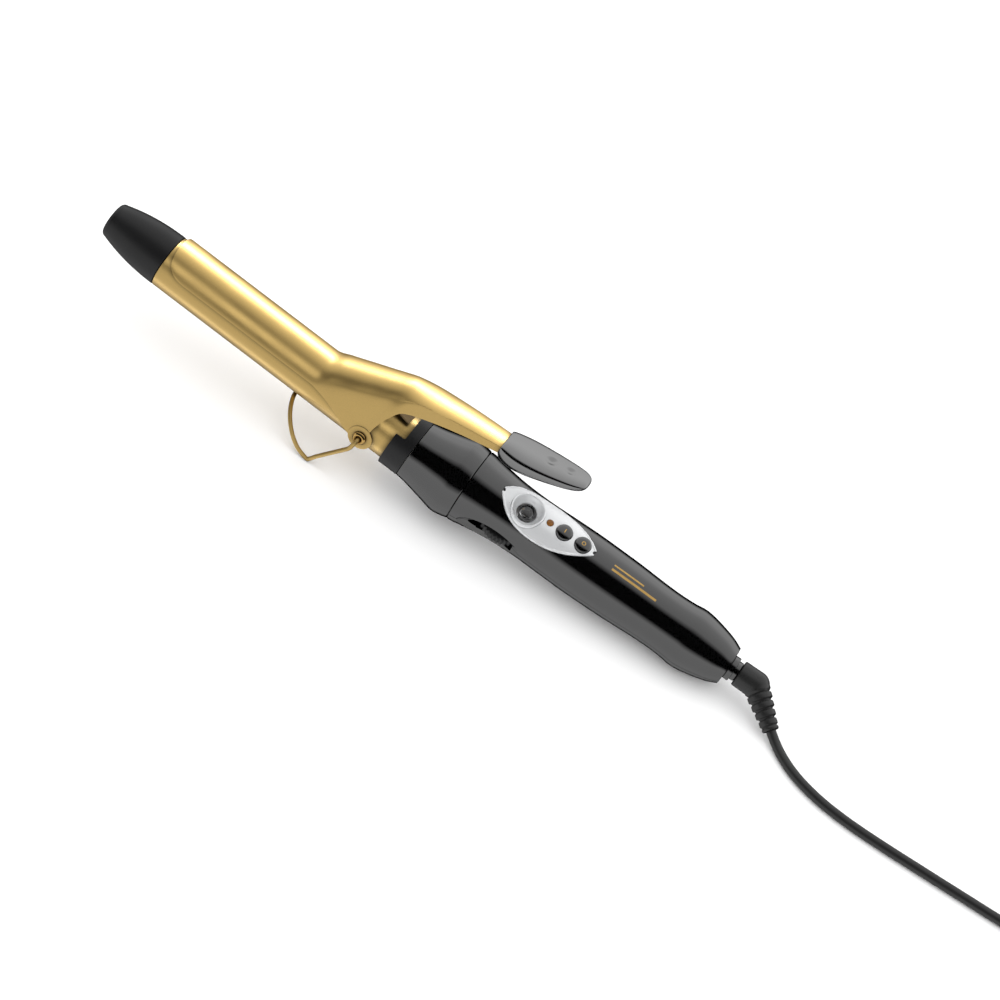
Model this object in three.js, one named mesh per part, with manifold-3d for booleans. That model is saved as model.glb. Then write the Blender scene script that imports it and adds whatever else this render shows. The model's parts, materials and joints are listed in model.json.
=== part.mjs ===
// A curling iron with a spring clamp, a folding wire stand, a dial, two buttons and a swivel cord.
// Every size is in millimetres. +X runs from the cool tip to the cord, -Y is the side that faces
// the user, and +Z is up.
// The iron is drawn level, with its origin on the barrel's axis at the front of the handle, and is
// then leaned so that it rests on the stand's two corners and on the swell of the handle.
import * as THREE from 'three';
import Module from 'manifold-3d';
import { mergeVertices } from 'three/addons/utils/BufferGeometryUtils.js';

const wasm = await Module();
wasm.setup();

// ------------------------------------------------------------------ driving dimensions

const GAP = 0.3; // clearance between pieces that touch

const BARREL_RADIUS = 12.7;
const BARREL_WALL = 0.8;
const BARREL_LENGTH = 129.4; // the part that shows, from the cool tip to the collar
const TIP_LENGTH = 31.8;
const TIP_TAPER = 4.8; // how much smaller the tip's radius is at its far end
const TIP_SPIGOT = 9; // the stub that fits inside the barrel
const TIP_FLAT = 6.6; // radius of the flat end
const TIP_CORNER = 2.2;
const TIP_PROUD = 0.1;
const TIP_SOLID = 10; // the tip is hollow behind this

const COLLAR_WALL = 1.6;
const COLLAR_LENGTH = 10.5;
const COLLAR_STEP = 4.8; // how far the collar's top is cut back
const HOUSING_LENGTH = 28.9;
const HOUSING_SWELL = 4.5;
const HOUSING_WALL = 2.4;
const SHELL_WALL = 2;

const HANDLE_LENGTH = 141.4;
const GRIP_RADIUS = 14.8;
const HANDLE_RISE = 2.2; // height of the handle's axis over the barrel's at the seam
const HANDLE_TILT = THREE.MathUtils.degToRad(3.1);
const HANDLE_ROLL = THREE.MathUtils.degToRad(23); // turns the controls towards the user

const PANEL_START = 14.3;
const PANEL_LENGTH = 49.7;
const PANEL_HALF_WIDTH = 10.6;
const PANEL_PROUD = 0.3;
const PANEL_DEPTH = 0.9;
const RING_RADIUS = 8.2;
const RING_DEPTH = 4;
const LENS_RADIUS = 4.4;
const LIGHT_RADIUS = 1.6;
const BUTTON_RADIUS = 3.8;
const BUTTON_TRAVEL = 0.8;
const RING_PLACE = 14.3; // distances from the panel's front end
const LIGHT_PLACE = 25.6;
const ON_PLACE = 33.2;
const OFF_PLACE = 43.1;

const WHEEL_RADIUS = 13;
const WHEEL_THICKNESS = 5;
const WHEEL_PLACE = 22.5;
const WHEEL_PROUD = 0.2; // how far the wheel's edge stands out of the grip
const DIAL_RADIUS = 7.4;

const CLAMP_SHEET = 0.9;
const CLAMP_CLEARANCE = 0.4;
const CLAMP_SPAN = THREE.MathUtils.degToRad(72); // half of the arc that the trough covers
const TONGUE_LENGTH = 12;
const PIVOT_FORWARD = 51.6; // from the seam
const PIVOT_DROP = 2.9;
const EAR_RADIUS = 6;
const RIVET_RADIUS = 2;
const RIVET_HEAD = 3.25;
const REST_START = 1.6; // the thumb rest begins behind the seam
const REST_LENGTH = 41.2;
const REST_HALF_WIDTH = 10.5;

const WIRE_RADIUS = 1;
const STAND_HALF_WIDTH = 21;
const STAND_REACH = 13.6; // from the pivot forward to the corners
const STAND_DROP = 22.9;
const STAND_LOOP = 22.5;

const NECK_RADIUS = 4.65;
const BOOT_RADIUS = 6.35;
const BOOT_END_RADIUS = 4.2;
const BOOT_LENGTH = 21.8;
const CORD_RADIUS = 2.3;

// ------------------------------------------------------------------ places along the iron

const HOUSING_FRONT = -HOUSING_LENGTH;
const COLLAR_FRONT = HOUSING_FRONT - COLLAR_LENGTH;
const COLLAR_RADIUS = BARREL_RADIUS + GAP + COLLAR_WALL;
const TIP_SEAM = COLLAR_FRONT - BARREL_LENGTH;
const TIP_END = TIP_SEAM - TIP_LENGTH;
const BARREL_END = HOUSING_FRONT - 1.6; // inside the collar
const BARREL_BORE = BARREL_RADIUS - BARREL_WALL;
const PIVOT_X = -PIVOT_FORWARD;
const PIVOT_Z = -PIVOT_DROP;
const SEAM_RADIUS = GRIP_RADIUS + 3.2;

// ------------------------------------------------------------------ materials

const satinGold = new THREE.MeshStandardMaterial({ color: 0xbe9b55, roughness: 0.35, metalness: 0.9 });
const brass = new THREE.MeshStandardMaterial({ color: 0xc9a24e, roughness: 0.25, metalness: 1 });
const matteBlack = new THREE.MeshStandardMaterial({ color: 0x1b1b1c, roughness: 0.75, metalness: 0 });
const glossBlack = new THREE.MeshStandardMaterial({ color: 0x0c0c0d, roughness: 0.15, metalness: 0 });
const silverPaint = new THREE.MeshStandardMaterial({ color: 0xc8cacc, roughness: 0.3, metalness: 0.7 });
const clearPlastic = new THREE.MeshStandardMaterial({ color: 0xd8dcdf, roughness: 0.08, metalness: 0 });
const amber = new THREE.MeshStandardMaterial({ color: 0x9a5a16, roughness: 0.2, metalness: 0 });
const aluminium = new THREE.MeshStandardMaterial({ color: 0xb4b7ba, roughness: 0.45, metalness: 1 });
const ceramic = new THREE.MeshStandardMaterial({ color: 0xe6e0d2, roughness: 0.7, metalness: 0 });
const board = new THREE.MeshStandardMaterial({ color: 0x2f6b3c, roughness: 0.5, metalness: 0 });
const steel = new THREE.MeshStandardMaterial({ color: 0x9b9da0, roughness: 0.35, metalness: 1 });
const silicone = new THREE.MeshStandardMaterial({ color: 0x9c2f28, roughness: 0.6, metalness: 0 });
const rubber = new THREE.MeshStandardMaterial({ color: 0x151516, roughness: 0.6, metalness: 0 });

// ------------------------------------------------------------------ geometry helpers

// One closed body with shared vertices, no thin-air triangles, and its faces pointing out.
function closed(geometry) {
  const bare = geometry.clone();
  for (const name of Object.keys(bare.attributes)) {
    if (name !== 'position') bare.deleteAttribute(name);
  }
  const merged = mergeVertices(bare, 1e-4);
  const corners = Array.from(merged.index.array);
  const place = merged.attributes.position;
  const a = new THREE.Vector3();
  const b = new THREE.Vector3();
  const c = new THREE.Vector3();
  const kept = [];
  let volume = 0;
  for (let i = 0; i < corners.length; i += 3) {
    const [p, q, r] = corners.slice(i, i + 3);
    if (p === q || q === r || r === p) continue;
    kept.push([p, q, r]);
    a.fromBufferAttribute(place, p);
    b.fromBufferAttribute(place, q);
    c.fromBufferAttribute(place, r);
    volume += a.dot(b.cross(c));
  }
  const facing = volume < 0 ? kept.map(([p, q, r]) => [p, r, q]) : kept;
  merged.setIndex(facing.flat());
  merged.clearGroups();
  merged.computeVertexNormals();
  return merged;
}

function solidOf(geometry) {
  const whole = closed(geometry);
  const mesh = new wasm.Mesh({
    numProp: 3,
    vertProperties: new Float32Array(whole.attributes.position.array),
    triVerts: new Uint32Array(whole.index.array),
  });
  return new wasm.Manifold(mesh);
}

function geometryOf(solid) {
  const mesh = solid.getMesh();
  const geometry = new THREE.BufferGeometry();
  geometry.setAttribute('position', new THREE.BufferAttribute(new Float32Array(mesh.vertProperties), 3));
  geometry.setIndex(Array.from(mesh.triVerts));
  geometry.computeVertexNormals();
  return geometry;
}

function cut(base, ...tools) {
  return geometryOf(tools.reduce((solid, tool) => solid.subtract(solidOf(tool)), solidOf(base)));
}

function joined(base, ...others) {
  return geometryOf(others.reduce((solid, other) => solid.add(solidOf(other)), solidOf(base)));
}

function common(base, other) {
  return geometryOf(solidOf(base).intersect(solidOf(other)));
}

// A profile of [distance along the axis, radius] points, turned about one of the axes.
function turned(profile, sides, axis) {
  const points = profile.map(([along, radius]) => new THREE.Vector2(radius, along));
  const geometry = new THREE.LatheGeometry(points, sides);
  if (axis === 'x') geometry.rotateZ(-Math.PI / 2);
  if (axis === 'z') geometry.rotateX(Math.PI / 2);
  return closed(geometry);
}

function rod(from, to, radius, sides, axis) {
  return turned([[from, 0], [from, radius], [to, radius], [to, 0]], sides, axis);
}

function ring(from, to, inner, outer, sides, axis) {
  return turned([[from, inner], [from, outer], [to, outer], [to, inner], [from, inner]], sides, axis);
}

function block(x, y, z) {
  const geometry = new THREE.BoxGeometry(x[1] - x[0], y[1] - y[0], z[1] - z[0]);
  geometry.translate((x[0] + x[1]) / 2, (y[0] + y[1]) / 2, (z[0] + z[1]) / 2);
  return geometry;
}

function shapeOf(points) {
  return new THREE.Shape(points.map(([x, y]) => new THREE.Vector2(x, y)));
}

// A flat outline in the XY plane, raised from one height to another.
function raised(shape, from, to) {
  const options = { depth: to - from, bevelEnabled: false, curveSegments: 6 };
  const geometry = new THREE.ExtrudeGeometry(shape, options);
  geometry.translate(0, 0, from);
  return closed(geometry);
}

// A side outline in the XZ plane, spread evenly across Y.
function spread(shape, halfWidth) {
  const geometry = raised(shape, -halfWidth, halfWidth);
  return geometry.rotateX(Math.PI / 2);
}

// A round wire or cord through a list of [x, y, z] points.
function strand(points, radius, sides, steps) {
  const path = new THREE.CatmullRomCurve3(points.map((point) => new THREE.Vector3(...point)));
  const corners = [];
  for (let i = 0; i < sides; i += 1) {
    const angle = (2 * Math.PI * i) / sides;
    corners.push([radius * Math.cos(angle), radius * Math.sin(angle)]);
  }
  const options = { steps, bevelEnabled: false, extrudePath: path };
  return closed(new THREE.ExtrudeGeometry(shapeOf(corners), options));
}

// Moves every vertex of a geometry by a rule from its old place to its new one.
function reshaped(geometry, rule) {
  const place = geometry.attributes.position;
  for (let i = 0; i < place.count; i += 1) {
    const [x, y, z] = rule(place.getX(i), place.getY(i), place.getZ(i));
    place.setXYZ(i, x, y, z);
  }
  return closed(geometry);
}

function piece(name, geometry, material) {
  const mesh = new THREE.Mesh(geometry, material);
  mesh.name = name;
  return mesh;
}

// ------------------------------------------------------------------ barrel end of the iron

// The tip's radius at a share of its length, from its far end.
function tipRadius(share) {
  return BARREL_RADIUS + TIP_PROUD - TIP_TAPER * (1 - share) ** 2.2;
}

function coolTip() {
  const profile = [[TIP_END, 0]];
  const cornerSteps = 4;
  const shoulder = tipRadius(TIP_CORNER / TIP_LENGTH);
  for (let i = 0; i < cornerSteps; i += 1) {
    const angle = (i / cornerSteps) * (Math.PI / 2);
    const along = TIP_CORNER * (1 - Math.cos(angle));
    profile.push([TIP_END + along, TIP_FLAT + (shoulder - TIP_FLAT) * Math.sin(angle)]);
  }
  for (const share of [TIP_CORNER / TIP_LENGTH, 0.16, 0.3, 0.45, 0.65, 0.85, 1]) {
    profile.push([TIP_END + share * TIP_LENGTH, tipRadius(share)]);
  }
  const spigot = BARREL_BORE - GAP;
  const spigotEnd = TIP_SEAM + TIP_SPIGOT;
  const hollowEnd = TIP_END + TIP_SOLID;
  profile.push([TIP_SEAM, spigot], [spigotEnd, spigot], [spigotEnd, spigot - SHELL_WALL]);
  profile.push([hollowEnd, tipRadius(TIP_SOLID / TIP_LENGTH) - SHELL_WALL - 1.1], [hollowEnd, 0]);
  return turned(profile, 28, 'x');
}

function barrelTube() {
  const tube = ring(TIP_SEAM + GAP, BARREL_END, BARREL_BORE, BARREL_RADIUS, 32, 'x');
  const rivetHole = rod(-BARREL_RADIUS - 2, BARREL_RADIUS + 2, RIVET_RADIUS + GAP, 16, 'y');
  return cut(tube, rivetHole.translate(PIVOT_X, 0, PIVOT_Z));
}

function collar() {
  const sleeve = ring(COLLAR_FRONT, HOUSING_FRONT - GAP, BARREL_RADIUS + GAP, COLLAR_RADIUS, 32, 'x');
  const step = block([COLLAR_FRONT - 1, COLLAR_FRONT + COLLAR_STEP], [-11, 11], [2, COLLAR_RADIUS + 2]);
  return cut(sleeve, step);
}

// The ceramic seat holds the barrel's end and is held in turn by the housing's front wall.
const SEAT_NECK = 9.4;

function barrelSeat() {
  const leadHole = 6;
  const bore = BARREL_BORE - GAP;
  const shoulder = BARREL_END + GAP;
  const rear = HOUSING_FRONT + 4.5;
  return turned([
    [shoulder - 12, leadHole], [shoulder - 12, bore], [shoulder, bore], [shoulder, BARREL_RADIUS],
    [HOUSING_FRONT - GAP, BARREL_RADIUS], [HOUSING_FRONT - GAP, SEAT_NECK], [rear, SEAT_NECK],
    [rear, leadHole], [shoulder - 12, leadHole],
  ], 32, 'x');
}

const HEATER_LENGTH = BARREL_LENGTH - 43.4;
const HEATER_START = TIP_SEAM + TIP_SPIGOT + 3;

function heaterElement() {
  return block([HEATER_START, HEATER_START + HEATER_LENGTH], [-6.5, 6.5], [-2, 2]);
}

function heatSpreader(side) {
  const round = rod(HEATER_START, HEATER_START + HEATER_LENGTH, BARREL_BORE - GAP, 32, 'x');
  const low = 2 + GAP;
  const half = block([HEATER_START - 1, HEATER_START + HEATER_LENGTH + 1], [-20, 20], [low, 20]);
  const spreader = common(round, half);
  return side > 0 ? spreader : closed(spreader.scale(1, 1, -1));
}

function pivotBlock() {
  const halfLength = 5;
  const round = rod(PIVOT_X - halfLength, PIVOT_X + halfLength, BARREL_BORE - GAP, 32, 'x');
  const rivetHole = rod(-BARREL_RADIUS, BARREL_RADIUS, RIVET_RADIUS + GAP, 16, 'y');
  const leadChannel = rod(PIVOT_X - 20, PIVOT_X + 20, 3.4, 16, 'x').translate(0, 0, 6);
  return cut(round, rivetHole.translate(PIVOT_X, 0, PIVOT_Z), leadChannel);
}

// A hollow rivet: its flared head holds the clamp's ear and its bore takes the end of the wire.
function pivotRivet(side) {
  const bore = WIRE_RADIUS + GAP;
  const earFace = BARREL_RADIUS + CLAMP_CLEARANCE + CLAMP_SHEET + GAP;
  const rivet = turned([
    [8, bore], [8, RIVET_RADIUS], [earFace, RIVET_RADIUS], [earFace, RIVET_HEAD], [earFace + 0.5, RIVET_HEAD],
    [earFace + 1.3, RIVET_HEAD - 0.8], [earFace + 1.5, bore + 0.7], [earFace + 1, bore], [8, bore],
  ], 18, 'y');
  if (side < 0) rivet.rotateZ(Math.PI);
  return rivet.translate(PIVOT_X, 0, PIVOT_Z);
}

// ------------------------------------------------------------------ clamp, lever and spring

const TROUGH_RADIUS = BARREL_RADIUS + CLAMP_CLEARANCE + CLAMP_SHEET; // the outer face's
const TROUGH_END = PIVOT_X - 32.4; // where the lever starts to rise out of the trough
const EAR_HALF_WIDTH = TROUGH_RADIUS;
const LEVER_END = REST_START + 7;
const LEVER_TOP = TROUGH_RADIUS + 23.4; // at the end that the thumb rest holds
const SHOULDER_ANGLE = CLAMP_SPAN * 0.7;

// Stations of the sheet behind the trough: place, top, shoulder half-width and height, then edge
// half-width and height, all of the outer face.
const troughStation = [
  TROUGH_RADIUS,
  TROUGH_RADIUS * Math.sin(SHOULDER_ANGLE), TROUGH_RADIUS * Math.cos(SHOULDER_ANGLE),
  TROUGH_RADIUS * Math.sin(CLAMP_SPAN), TROUGH_RADIUS * Math.cos(CLAMP_SPAN),
];
const clampStations = [
  [TROUGH_END - 6, ...troughStation],
  [TROUGH_END, ...troughStation],
  [PIVOT_X - 25, ...risen(3.2, -2.7, -2.8), EAR_HALF_WIDTH - 0.2, 3.2],
  [PIVOT_X - 15, ...risen(7.8, -2.7, 1.6), EAR_HALF_WIDTH, -0.6],
  [PIVOT_X - 6, ...risen(12, -3, 5.8), EAR_HALF_WIDTH, PIVOT_Z - 2],
  [PIVOT_X + 1, ...risen(15.3, -3.4, 9.6), EAR_HALF_WIDTH, PIVOT_Z - 3],
  [PIVOT_X + 2.6, ...risen(16.1, -3.5, 10.4), EAR_HALF_WIDTH, 5],
  [PIVOT_X + 5.4, ...risen(17.1, -3.7, 12, -0.6, 1)],
  [PIVOT_X + 9, ...risen(17.6, -4.1, 13.8, -2.8, 6.5)],
  [PIVOT_X + 17.1, ...risen(18.7, -5, 16.2, -4.7, 9.4)],
  [PIVOT_X + 36.6, ...risen(21.3, -6.5, 19.5, -6.2, 15)],
  [LEVER_END, ...risen(23.4, -8.4, 22.4, -8.2, 19.4)],
];

// The numbers of a station that follow the barrel's size are given as how far they pass the trough.
function risen(...beyond) {
  return beyond.map((amount) => TROUGH_RADIUS + amount);
}

function clampStation(x) {
  const last = clampStations.length - 1;
  let i = clampStations.findIndex((station) => station[0] > x);
  if (i < 0) i = last;
  if (i === 0) i = 1;
  const [low, high] = [clampStations[i - 1], clampStations[i]];
  const t = THREE.MathUtils.clamp((x - low[0]) / (high[0] - low[0]), 0, 1);
  return low.slice(1).map((value, k) => value + (high[k + 1] - value) * t);
}

// The outer face's [y, z] at a place along the iron and a share of the way across, from -1 to 1.
function clampSection(x, across) {
  const [top, shoulderY, shoulderZ, edgeY, edgeZ] = clampStation(x);
  const drop = top - shoulderZ;
  const radius = (shoulderY ** 2 + drop ** 2) / (2 * drop);
  const shoulderAngle = Math.asin(Math.min(1, shoulderY / radius));
  const share = Math.abs(across);
  const side = Math.sign(across);
  const crown = 0.6; // share of the half-width that the crown's arc takes
  if (share <= crown) {
    const angle = (shoulderAngle * share) / crown;
    return [side * radius * Math.sin(angle), top - radius * (1 - Math.cos(angle))];
  }
  const t = (share - crown) / (1 - crown);
  const reach = (edgeY - shoulderY) * 0.75;
  const bendY = shoulderY + reach;
  const bendZ = Math.max(shoulderZ - reach * Math.tan(shoulderAngle), edgeZ + (shoulderZ - edgeZ) * 0.4);
  const y = (1 - t) ** 2 * shoulderY + 2 * t * (1 - t) * bendY + t * t * edgeY;
  const z = (1 - t) ** 2 * shoulderZ + 2 * t * (1 - t) * bendZ + t * t * edgeZ;
  return [side * y, z];
}

function clampPlate() {
  const alongSteps = 25;
  const acrossSteps = 16;
  const front = TIP_SEAM + 1.8;
  const straightStart = front + TONGUE_LENGTH;
  const troughSteps = 4;
  const sheet = new THREE.BoxGeometry(1, 2, 1, alongSteps, acrossSteps, 1);
  const plate = reshaped(sheet, (u, across, w) => {
    const tongue = straightStart - TONGUE_LENGTH * (1 - Math.abs(across) ** 2.2) ** (1 / 2.2);
    const step = (u + 0.5) * alongSteps;
    const inTrough = Math.min(1, step / troughSteps);
    const behind = Math.max(0, (step - troughSteps) / (alongSteps - troughSteps));
    const x = tongue + (TROUGH_END - tongue) * inTrough + (LEVER_END - TROUGH_END) * behind;
    const [y, z] = clampSection(x, across);
    const [y2, z2] = clampSection(x, across + (across >= 1 ? -0.02 : 0.02));
    const length = Math.hypot(y2 - y, z2 - z);
    const inward = ((0.5 - w) * CLAMP_SHEET * (across >= 1 ? -1 : 1)) / length;
    return [x, y + inward * (z2 - z), z - inward * (y2 - y)];
  });
  const earOuter = EAR_HALF_WIDTH;
  const ears = [-1, 1].map((side) => {
    const disc = rod(earOuter - CLAMP_SHEET, earOuter, EAR_RADIUS, 28, 'y');
    if (side < 0) disc.rotateZ(Math.PI);
    return disc.translate(PIVOT_X, 0, PIVOT_Z);
  });
  const rivetHole = rod(-earOuter - 3, earOuter + 3, RIVET_RADIUS + GAP, 20, 'y');
  return cut(joined(plate, ...ears), rivetHole.translate(PIVOT_X, 0, PIVOT_Z));
}

const SPRING_RIVET_X = PIVOT_X - 16;
const SPRING_DROP = 2.1; // from the crown's inner face down to the spring

// The spring is riveted under the crown and its free end bears on the barrel behind the pivot.
function clampSpring() {
  const crown = (x) => clampStation(x)[0] - CLAMP_SHEET - SPRING_DROP;
  const thickness = 0.7;
  const foot = BARREL_RADIUS + 0.5;
  const upper = [
    [PIVOT_X - 20, crown(PIVOT_X - 20)], [PIVOT_X - 12, crown(PIVOT_X - 12)],
    [PIVOT_X - 5, foot + 8.3], [PIVOT_X + 2, foot + 5],
    [PIVOT_X + 9, foot + thickness + 1.4], [PIVOT_X + 14, foot + thickness],
  ];
  const curve = new THREE.SplineCurve(upper.map(([x, z]) => new THREE.Vector2(x, z))).getPoints(14);
  const lower = curve.map((point) => new THREE.Vector2(point.x, point.y - thickness)).reverse();
  const strip = spread(new THREE.Shape([...curve, ...lower]), 5.5);
  const rivetHole = rod(0, 60, 1.3, 12, 'z').translate(SPRING_RIVET_X, 0, 0);
  return cut(strip, rivetHole);
}

function springRivet() {
  const under = clampStation(SPRING_RIVET_X - 1.3)[0] - CLAMP_SHEET - GAP;
  const head = under - SPRING_DROP - 1.6;
  const rivet = turned([
    [head - 0.9, 0], [head - 0.9, 1.6], [head, 1.9], [head, 1], [under, 1], [under, 0],
  ], 14, 'z');
  return rivet.translate(SPRING_RIVET_X, 0, 0);
}

function thumbRest() {
  const end = REST_START + REST_LENGTH;
  const at = (share) => REST_START + REST_LENGTH * share;
  const side = new THREE.Shape();
  side.moveTo(REST_START, LEVER_TOP - 6.4);
  side.quadraticCurveTo(at(0.02), LEVER_TOP - 9.2, at(0.09), LEVER_TOP - 9.3);
  side.quadraticCurveTo(at(0.4), LEVER_TOP - 8.8, at(0.72), LEVER_TOP - 1.4);
  side.quadraticCurveTo(at(0.9), LEVER_TOP + 2.8, at(0.985), LEVER_TOP + 4.5);
  side.quadraticCurveTo(end, LEVER_TOP + 7.2, at(0.93), LEVER_TOP + 7.7);
  side.quadraticCurveTo(at(0.5), LEVER_TOP + 4.8, at(0.25), LEVER_TOP + 2.5);
  side.quadraticCurveTo(at(0.1), LEVER_TOP + 1.5, at(0.02), LEVER_TOP + 0.7);
  side.lineTo(REST_START, LEVER_TOP);
  const plan = new THREE.Shape();
  const w = REST_HALF_WIDTH;
  plan.moveTo(REST_START, -w * 0.72);
  plan.quadraticCurveTo(at(0.1), -w, at(0.25), -w);
  plan.quadraticCurveTo(at(0.6), -w, at(0.9), -w * 0.66);
  plan.bezierCurveTo(end, -w * 0.58, end, w * 0.58, at(0.9), w * 0.66);
  plan.quadraticCurveTo(at(0.6), w, at(0.25), w);
  plan.quadraticCurveTo(at(0.1), w, REST_START, w * 0.72);
  const body = common(spread(side, w + 1), raised(plan, LEVER_TOP - 18, LEVER_TOP + 18));
  const pocketHalf = TROUGH_RADIUS - 7.2;
  const pocketEnd = LEVER_END + GAP;
  const pocketHeights = [LEVER_TOP - 6.1, LEVER_TOP + 0.5];
  const pocket = block([REST_START - 1, pocketEnd], [-pocketHalf, pocketHalf], pocketHeights);
  const dimples = [[0.5, 3], [0.74, 2.6]].map(([share, radius]) => {
    const ball = new THREE.SphereGeometry(radius, 12, 8);
    ball.scale(1, 1, 0.5);
    return ball.translate(at(share), 0, thumbRestTop(share) + 0.4);
  });
  return cut(body, pocket, ...dimples);
}

function thumbRestTop(share) {
  return LEVER_TOP + 1 + 6.6 * share;
}

// ------------------------------------------------------------------ stand

function standWire() {
  const cornerX = PIVOT_X - STAND_REACH;
  const cornerZ = PIVOT_Z - STAND_DROP;
  const ear = EAR_HALF_WIDTH;
  const side = [
    [PIVOT_X, ear - 4.5, PIVOT_Z], [PIVOT_X, ear - 1, PIVOT_Z], [PIVOT_X, ear + 1.6, PIVOT_Z],
    [PIVOT_X - 0.1, ear + 3.3, PIVOT_Z - 0.9], [PIVOT_X - 0.4, ear + 4, PIVOT_Z - 2.6],
    [PIVOT_X - 0.9, ear + 4.4, PIVOT_Z - 4.9], [PIVOT_X - 3, ear + 4.9, PIVOT_Z - 8],
    [cornerX + 3, 20.6, cornerZ + 4.6], [cornerX + 0.8, STAND_HALF_WIDTH, cornerZ + 1],
    [cornerX - 0.6, STAND_HALF_WIDTH, cornerZ],
  ];
  const points = side.map(([x, y, z]) => [x, -y, z]);
  const underBarrel = -BARREL_RADIUS - WIRE_RADIUS - 0.5;
  for (let i = 1; i < 12; i += 1) {
    const angle = (Math.PI * i) / 12;
    const out = Math.sin(angle);
    const x = cornerX - 0.6 - STAND_LOOP * out;
    points.push([x, -STAND_HALF_WIDTH * Math.cos(angle), cornerZ + (underBarrel - cornerZ) * out ** 1.6]);
  }
  points.push(...side.slice().reverse());
  return strand(points, WIRE_RADIUS, 8, 60);
}

// ------------------------------------------------------------------ handle, in its own frame
// The handle's frame has its axis along X from the seam, and the panel faces +Z.

const SEAM_GAP = GAP / 2;
const gripOutline = new THREE.SplineCurve([
  [SEAM_GAP, 3.2], [3, 3.0], [7, 2.25], [13, 1.35], [20, 0.55], [28.5, 0.1], [37.5, 0], [55, 0.45], [66, 0.5],
  [HANDLE_LENGTH - 58, 0.1], [HANDLE_LENGTH - 44, -0.6], [HANDLE_LENGTH - 35, -0.78],
  [HANDLE_LENGTH - 28, -0.5], [HANDLE_LENGTH - 22.6, 0.12], [HANDLE_LENGTH - 18, -0.2],
  [HANDLE_LENGTH - 13, -1.15], [HANDLE_LENGTH - 8, -2.35], [HANDLE_LENGTH - 4, -3.6], [HANDLE_LENGTH, -5.4],
].map(([x, extra]) => new THREE.Vector2(x, GRIP_RADIUS + extra))).getPoints(18);

function gripRadius(x) {
  const last = gripOutline.length - 1;
  let i = gripOutline.findIndex((point) => point.x > x);
  if (i < 0) i = last;
  if (i === 0) i = 1;
  const [low, high] = [gripOutline[i - 1], gripOutline[i]];
  return low.y + ((high.y - low.y) * (x - low.x)) / (high.x - low.x);
}

const END_WALL = 2.4;

function gripShell() {
  const outer = gripOutline.map((point) => [point.x, point.y]);
  const innerEnd = HANDLE_LENGTH - END_WALL;
  const rear = [36, 23, 12].map((back) => HANDLE_LENGTH - back);
  const places = [SEAM_GAP, 6, 14, 28, 60, ...rear, innerEnd];
  const inner = places.map((x) => [x, gripRadius(x) - SHELL_WALL]).reverse();
  const hole = NECK_RADIUS + GAP;
  return turned([...outer, [HANDLE_LENGTH, hole], [innerEnd, hole], ...inner, outer[0]], 28, 'x');
}

// The ring between two offsets from the grip's surface, over the panel's stretch.
function gripBand(from, to, low, high) {
  const places = [from, ...gripOutline.map((point) => point.x).filter((x) => x > from && x < to), to];
  const outer = places.map((x) => [x, gripRadius(x) + high]);
  const inner = places.map((x) => [x, gripRadius(x) + low]).reverse();
  return turned([...outer, ...inner, outer[0]], 42, 'x');
}

function panelOutline(margin) {
  const start = PANEL_START - margin;
  const end = PANEL_START + PANEL_LENGTH + margin;
  const width = PANEL_HALF_WIDTH + margin;
  const middle = PANEL_START + PANEL_LENGTH * 0.46;
  const half = 1.4;
  const shape = new THREE.Shape();
  shape.moveTo(start, -half);
  shape.bezierCurveTo(start + 5, -width * 0.72, middle - 13, -width, middle, -width);
  shape.bezierCurveTo(middle + 13, -width, end - 6, -width * 0.62, end, -half);
  shape.lineTo(end, half);
  shape.bezierCurveTo(end - 6, width * 0.62, middle + 13, width, middle, width);
  shape.bezierCurveTo(middle - 13, width, start + 5, width * 0.72, start, half);
  return shape;
}

const RING_X = PANEL_START + RING_PLACE;
const RING_Y = -0.75;
const LIGHT_X = PANEL_START + LIGHT_PLACE;
const BUTTON_X = { on: PANEL_START + ON_PLACE, off: PANEL_START + OFF_PLACE };

function panelHoles(margin) {
  return [
    rod(0, 40, RING_RADIUS + margin, 28, 'z').translate(RING_X, RING_Y, 0),
    rod(0, 40, LIGHT_RADIUS + GAP, 12, 'z').translate(LIGHT_X, 0, 0),
    rod(0, 40, BUTTON_RADIUS + GAP, 24, 'z').translate(BUTTON_X.on, 0, 0),
    rod(0, 40, BUTTON_RADIUS + GAP, 24, 'z').translate(BUTTON_X.off, 0, 0),
  ];
}

function controlPanel() {
  const start = PANEL_START - 2;
  const end = PANEL_START + PANEL_LENGTH + 2;
  const band = gripBand(start, end, -PANEL_DEPTH, PANEL_PROUD);
  const plate = common(band, raised(panelOutline(0), 1, 40));
  return cut(plate, ...panelHoles(GAP));
}

function wheelWindow() {
  const reach = WHEEL_RADIUS + 1.5;
  const half = WHEEL_THICKNESS / 2 + 0.6;
  return block([WHEEL_PLACE - reach, WHEEL_PLACE + reach], [-30, -6], [-half, half]);
}

function thumbScallop() {
  const scallop = new THREE.SphereGeometry(1, 20, 12);
  scallop.scale(16, 6, 7.5);
  return closed(scallop.translate(WHEEL_PLACE, -gripRadius(WHEEL_PLACE) - 4.5, 0));
}

const POST_RADIUS = 3.4;
const SCREW_X = [WHEEL_PLACE - WHEEL_RADIUS - POST_RADIUS - 1.1, HANDLE_LENGTH - 34.4];
const SCREW_RADIUS = 1.1;
const SCREW_HEAD = 2.1;

// Nothing of the grip passes its front edge.
function beforeSeam() {
  return block([-20, SEAM_GAP], [-40, 40], [-40, 40]);
}

function headSeat(x) {
  return -(gripRadius(x) - 3.6);
}

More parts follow.
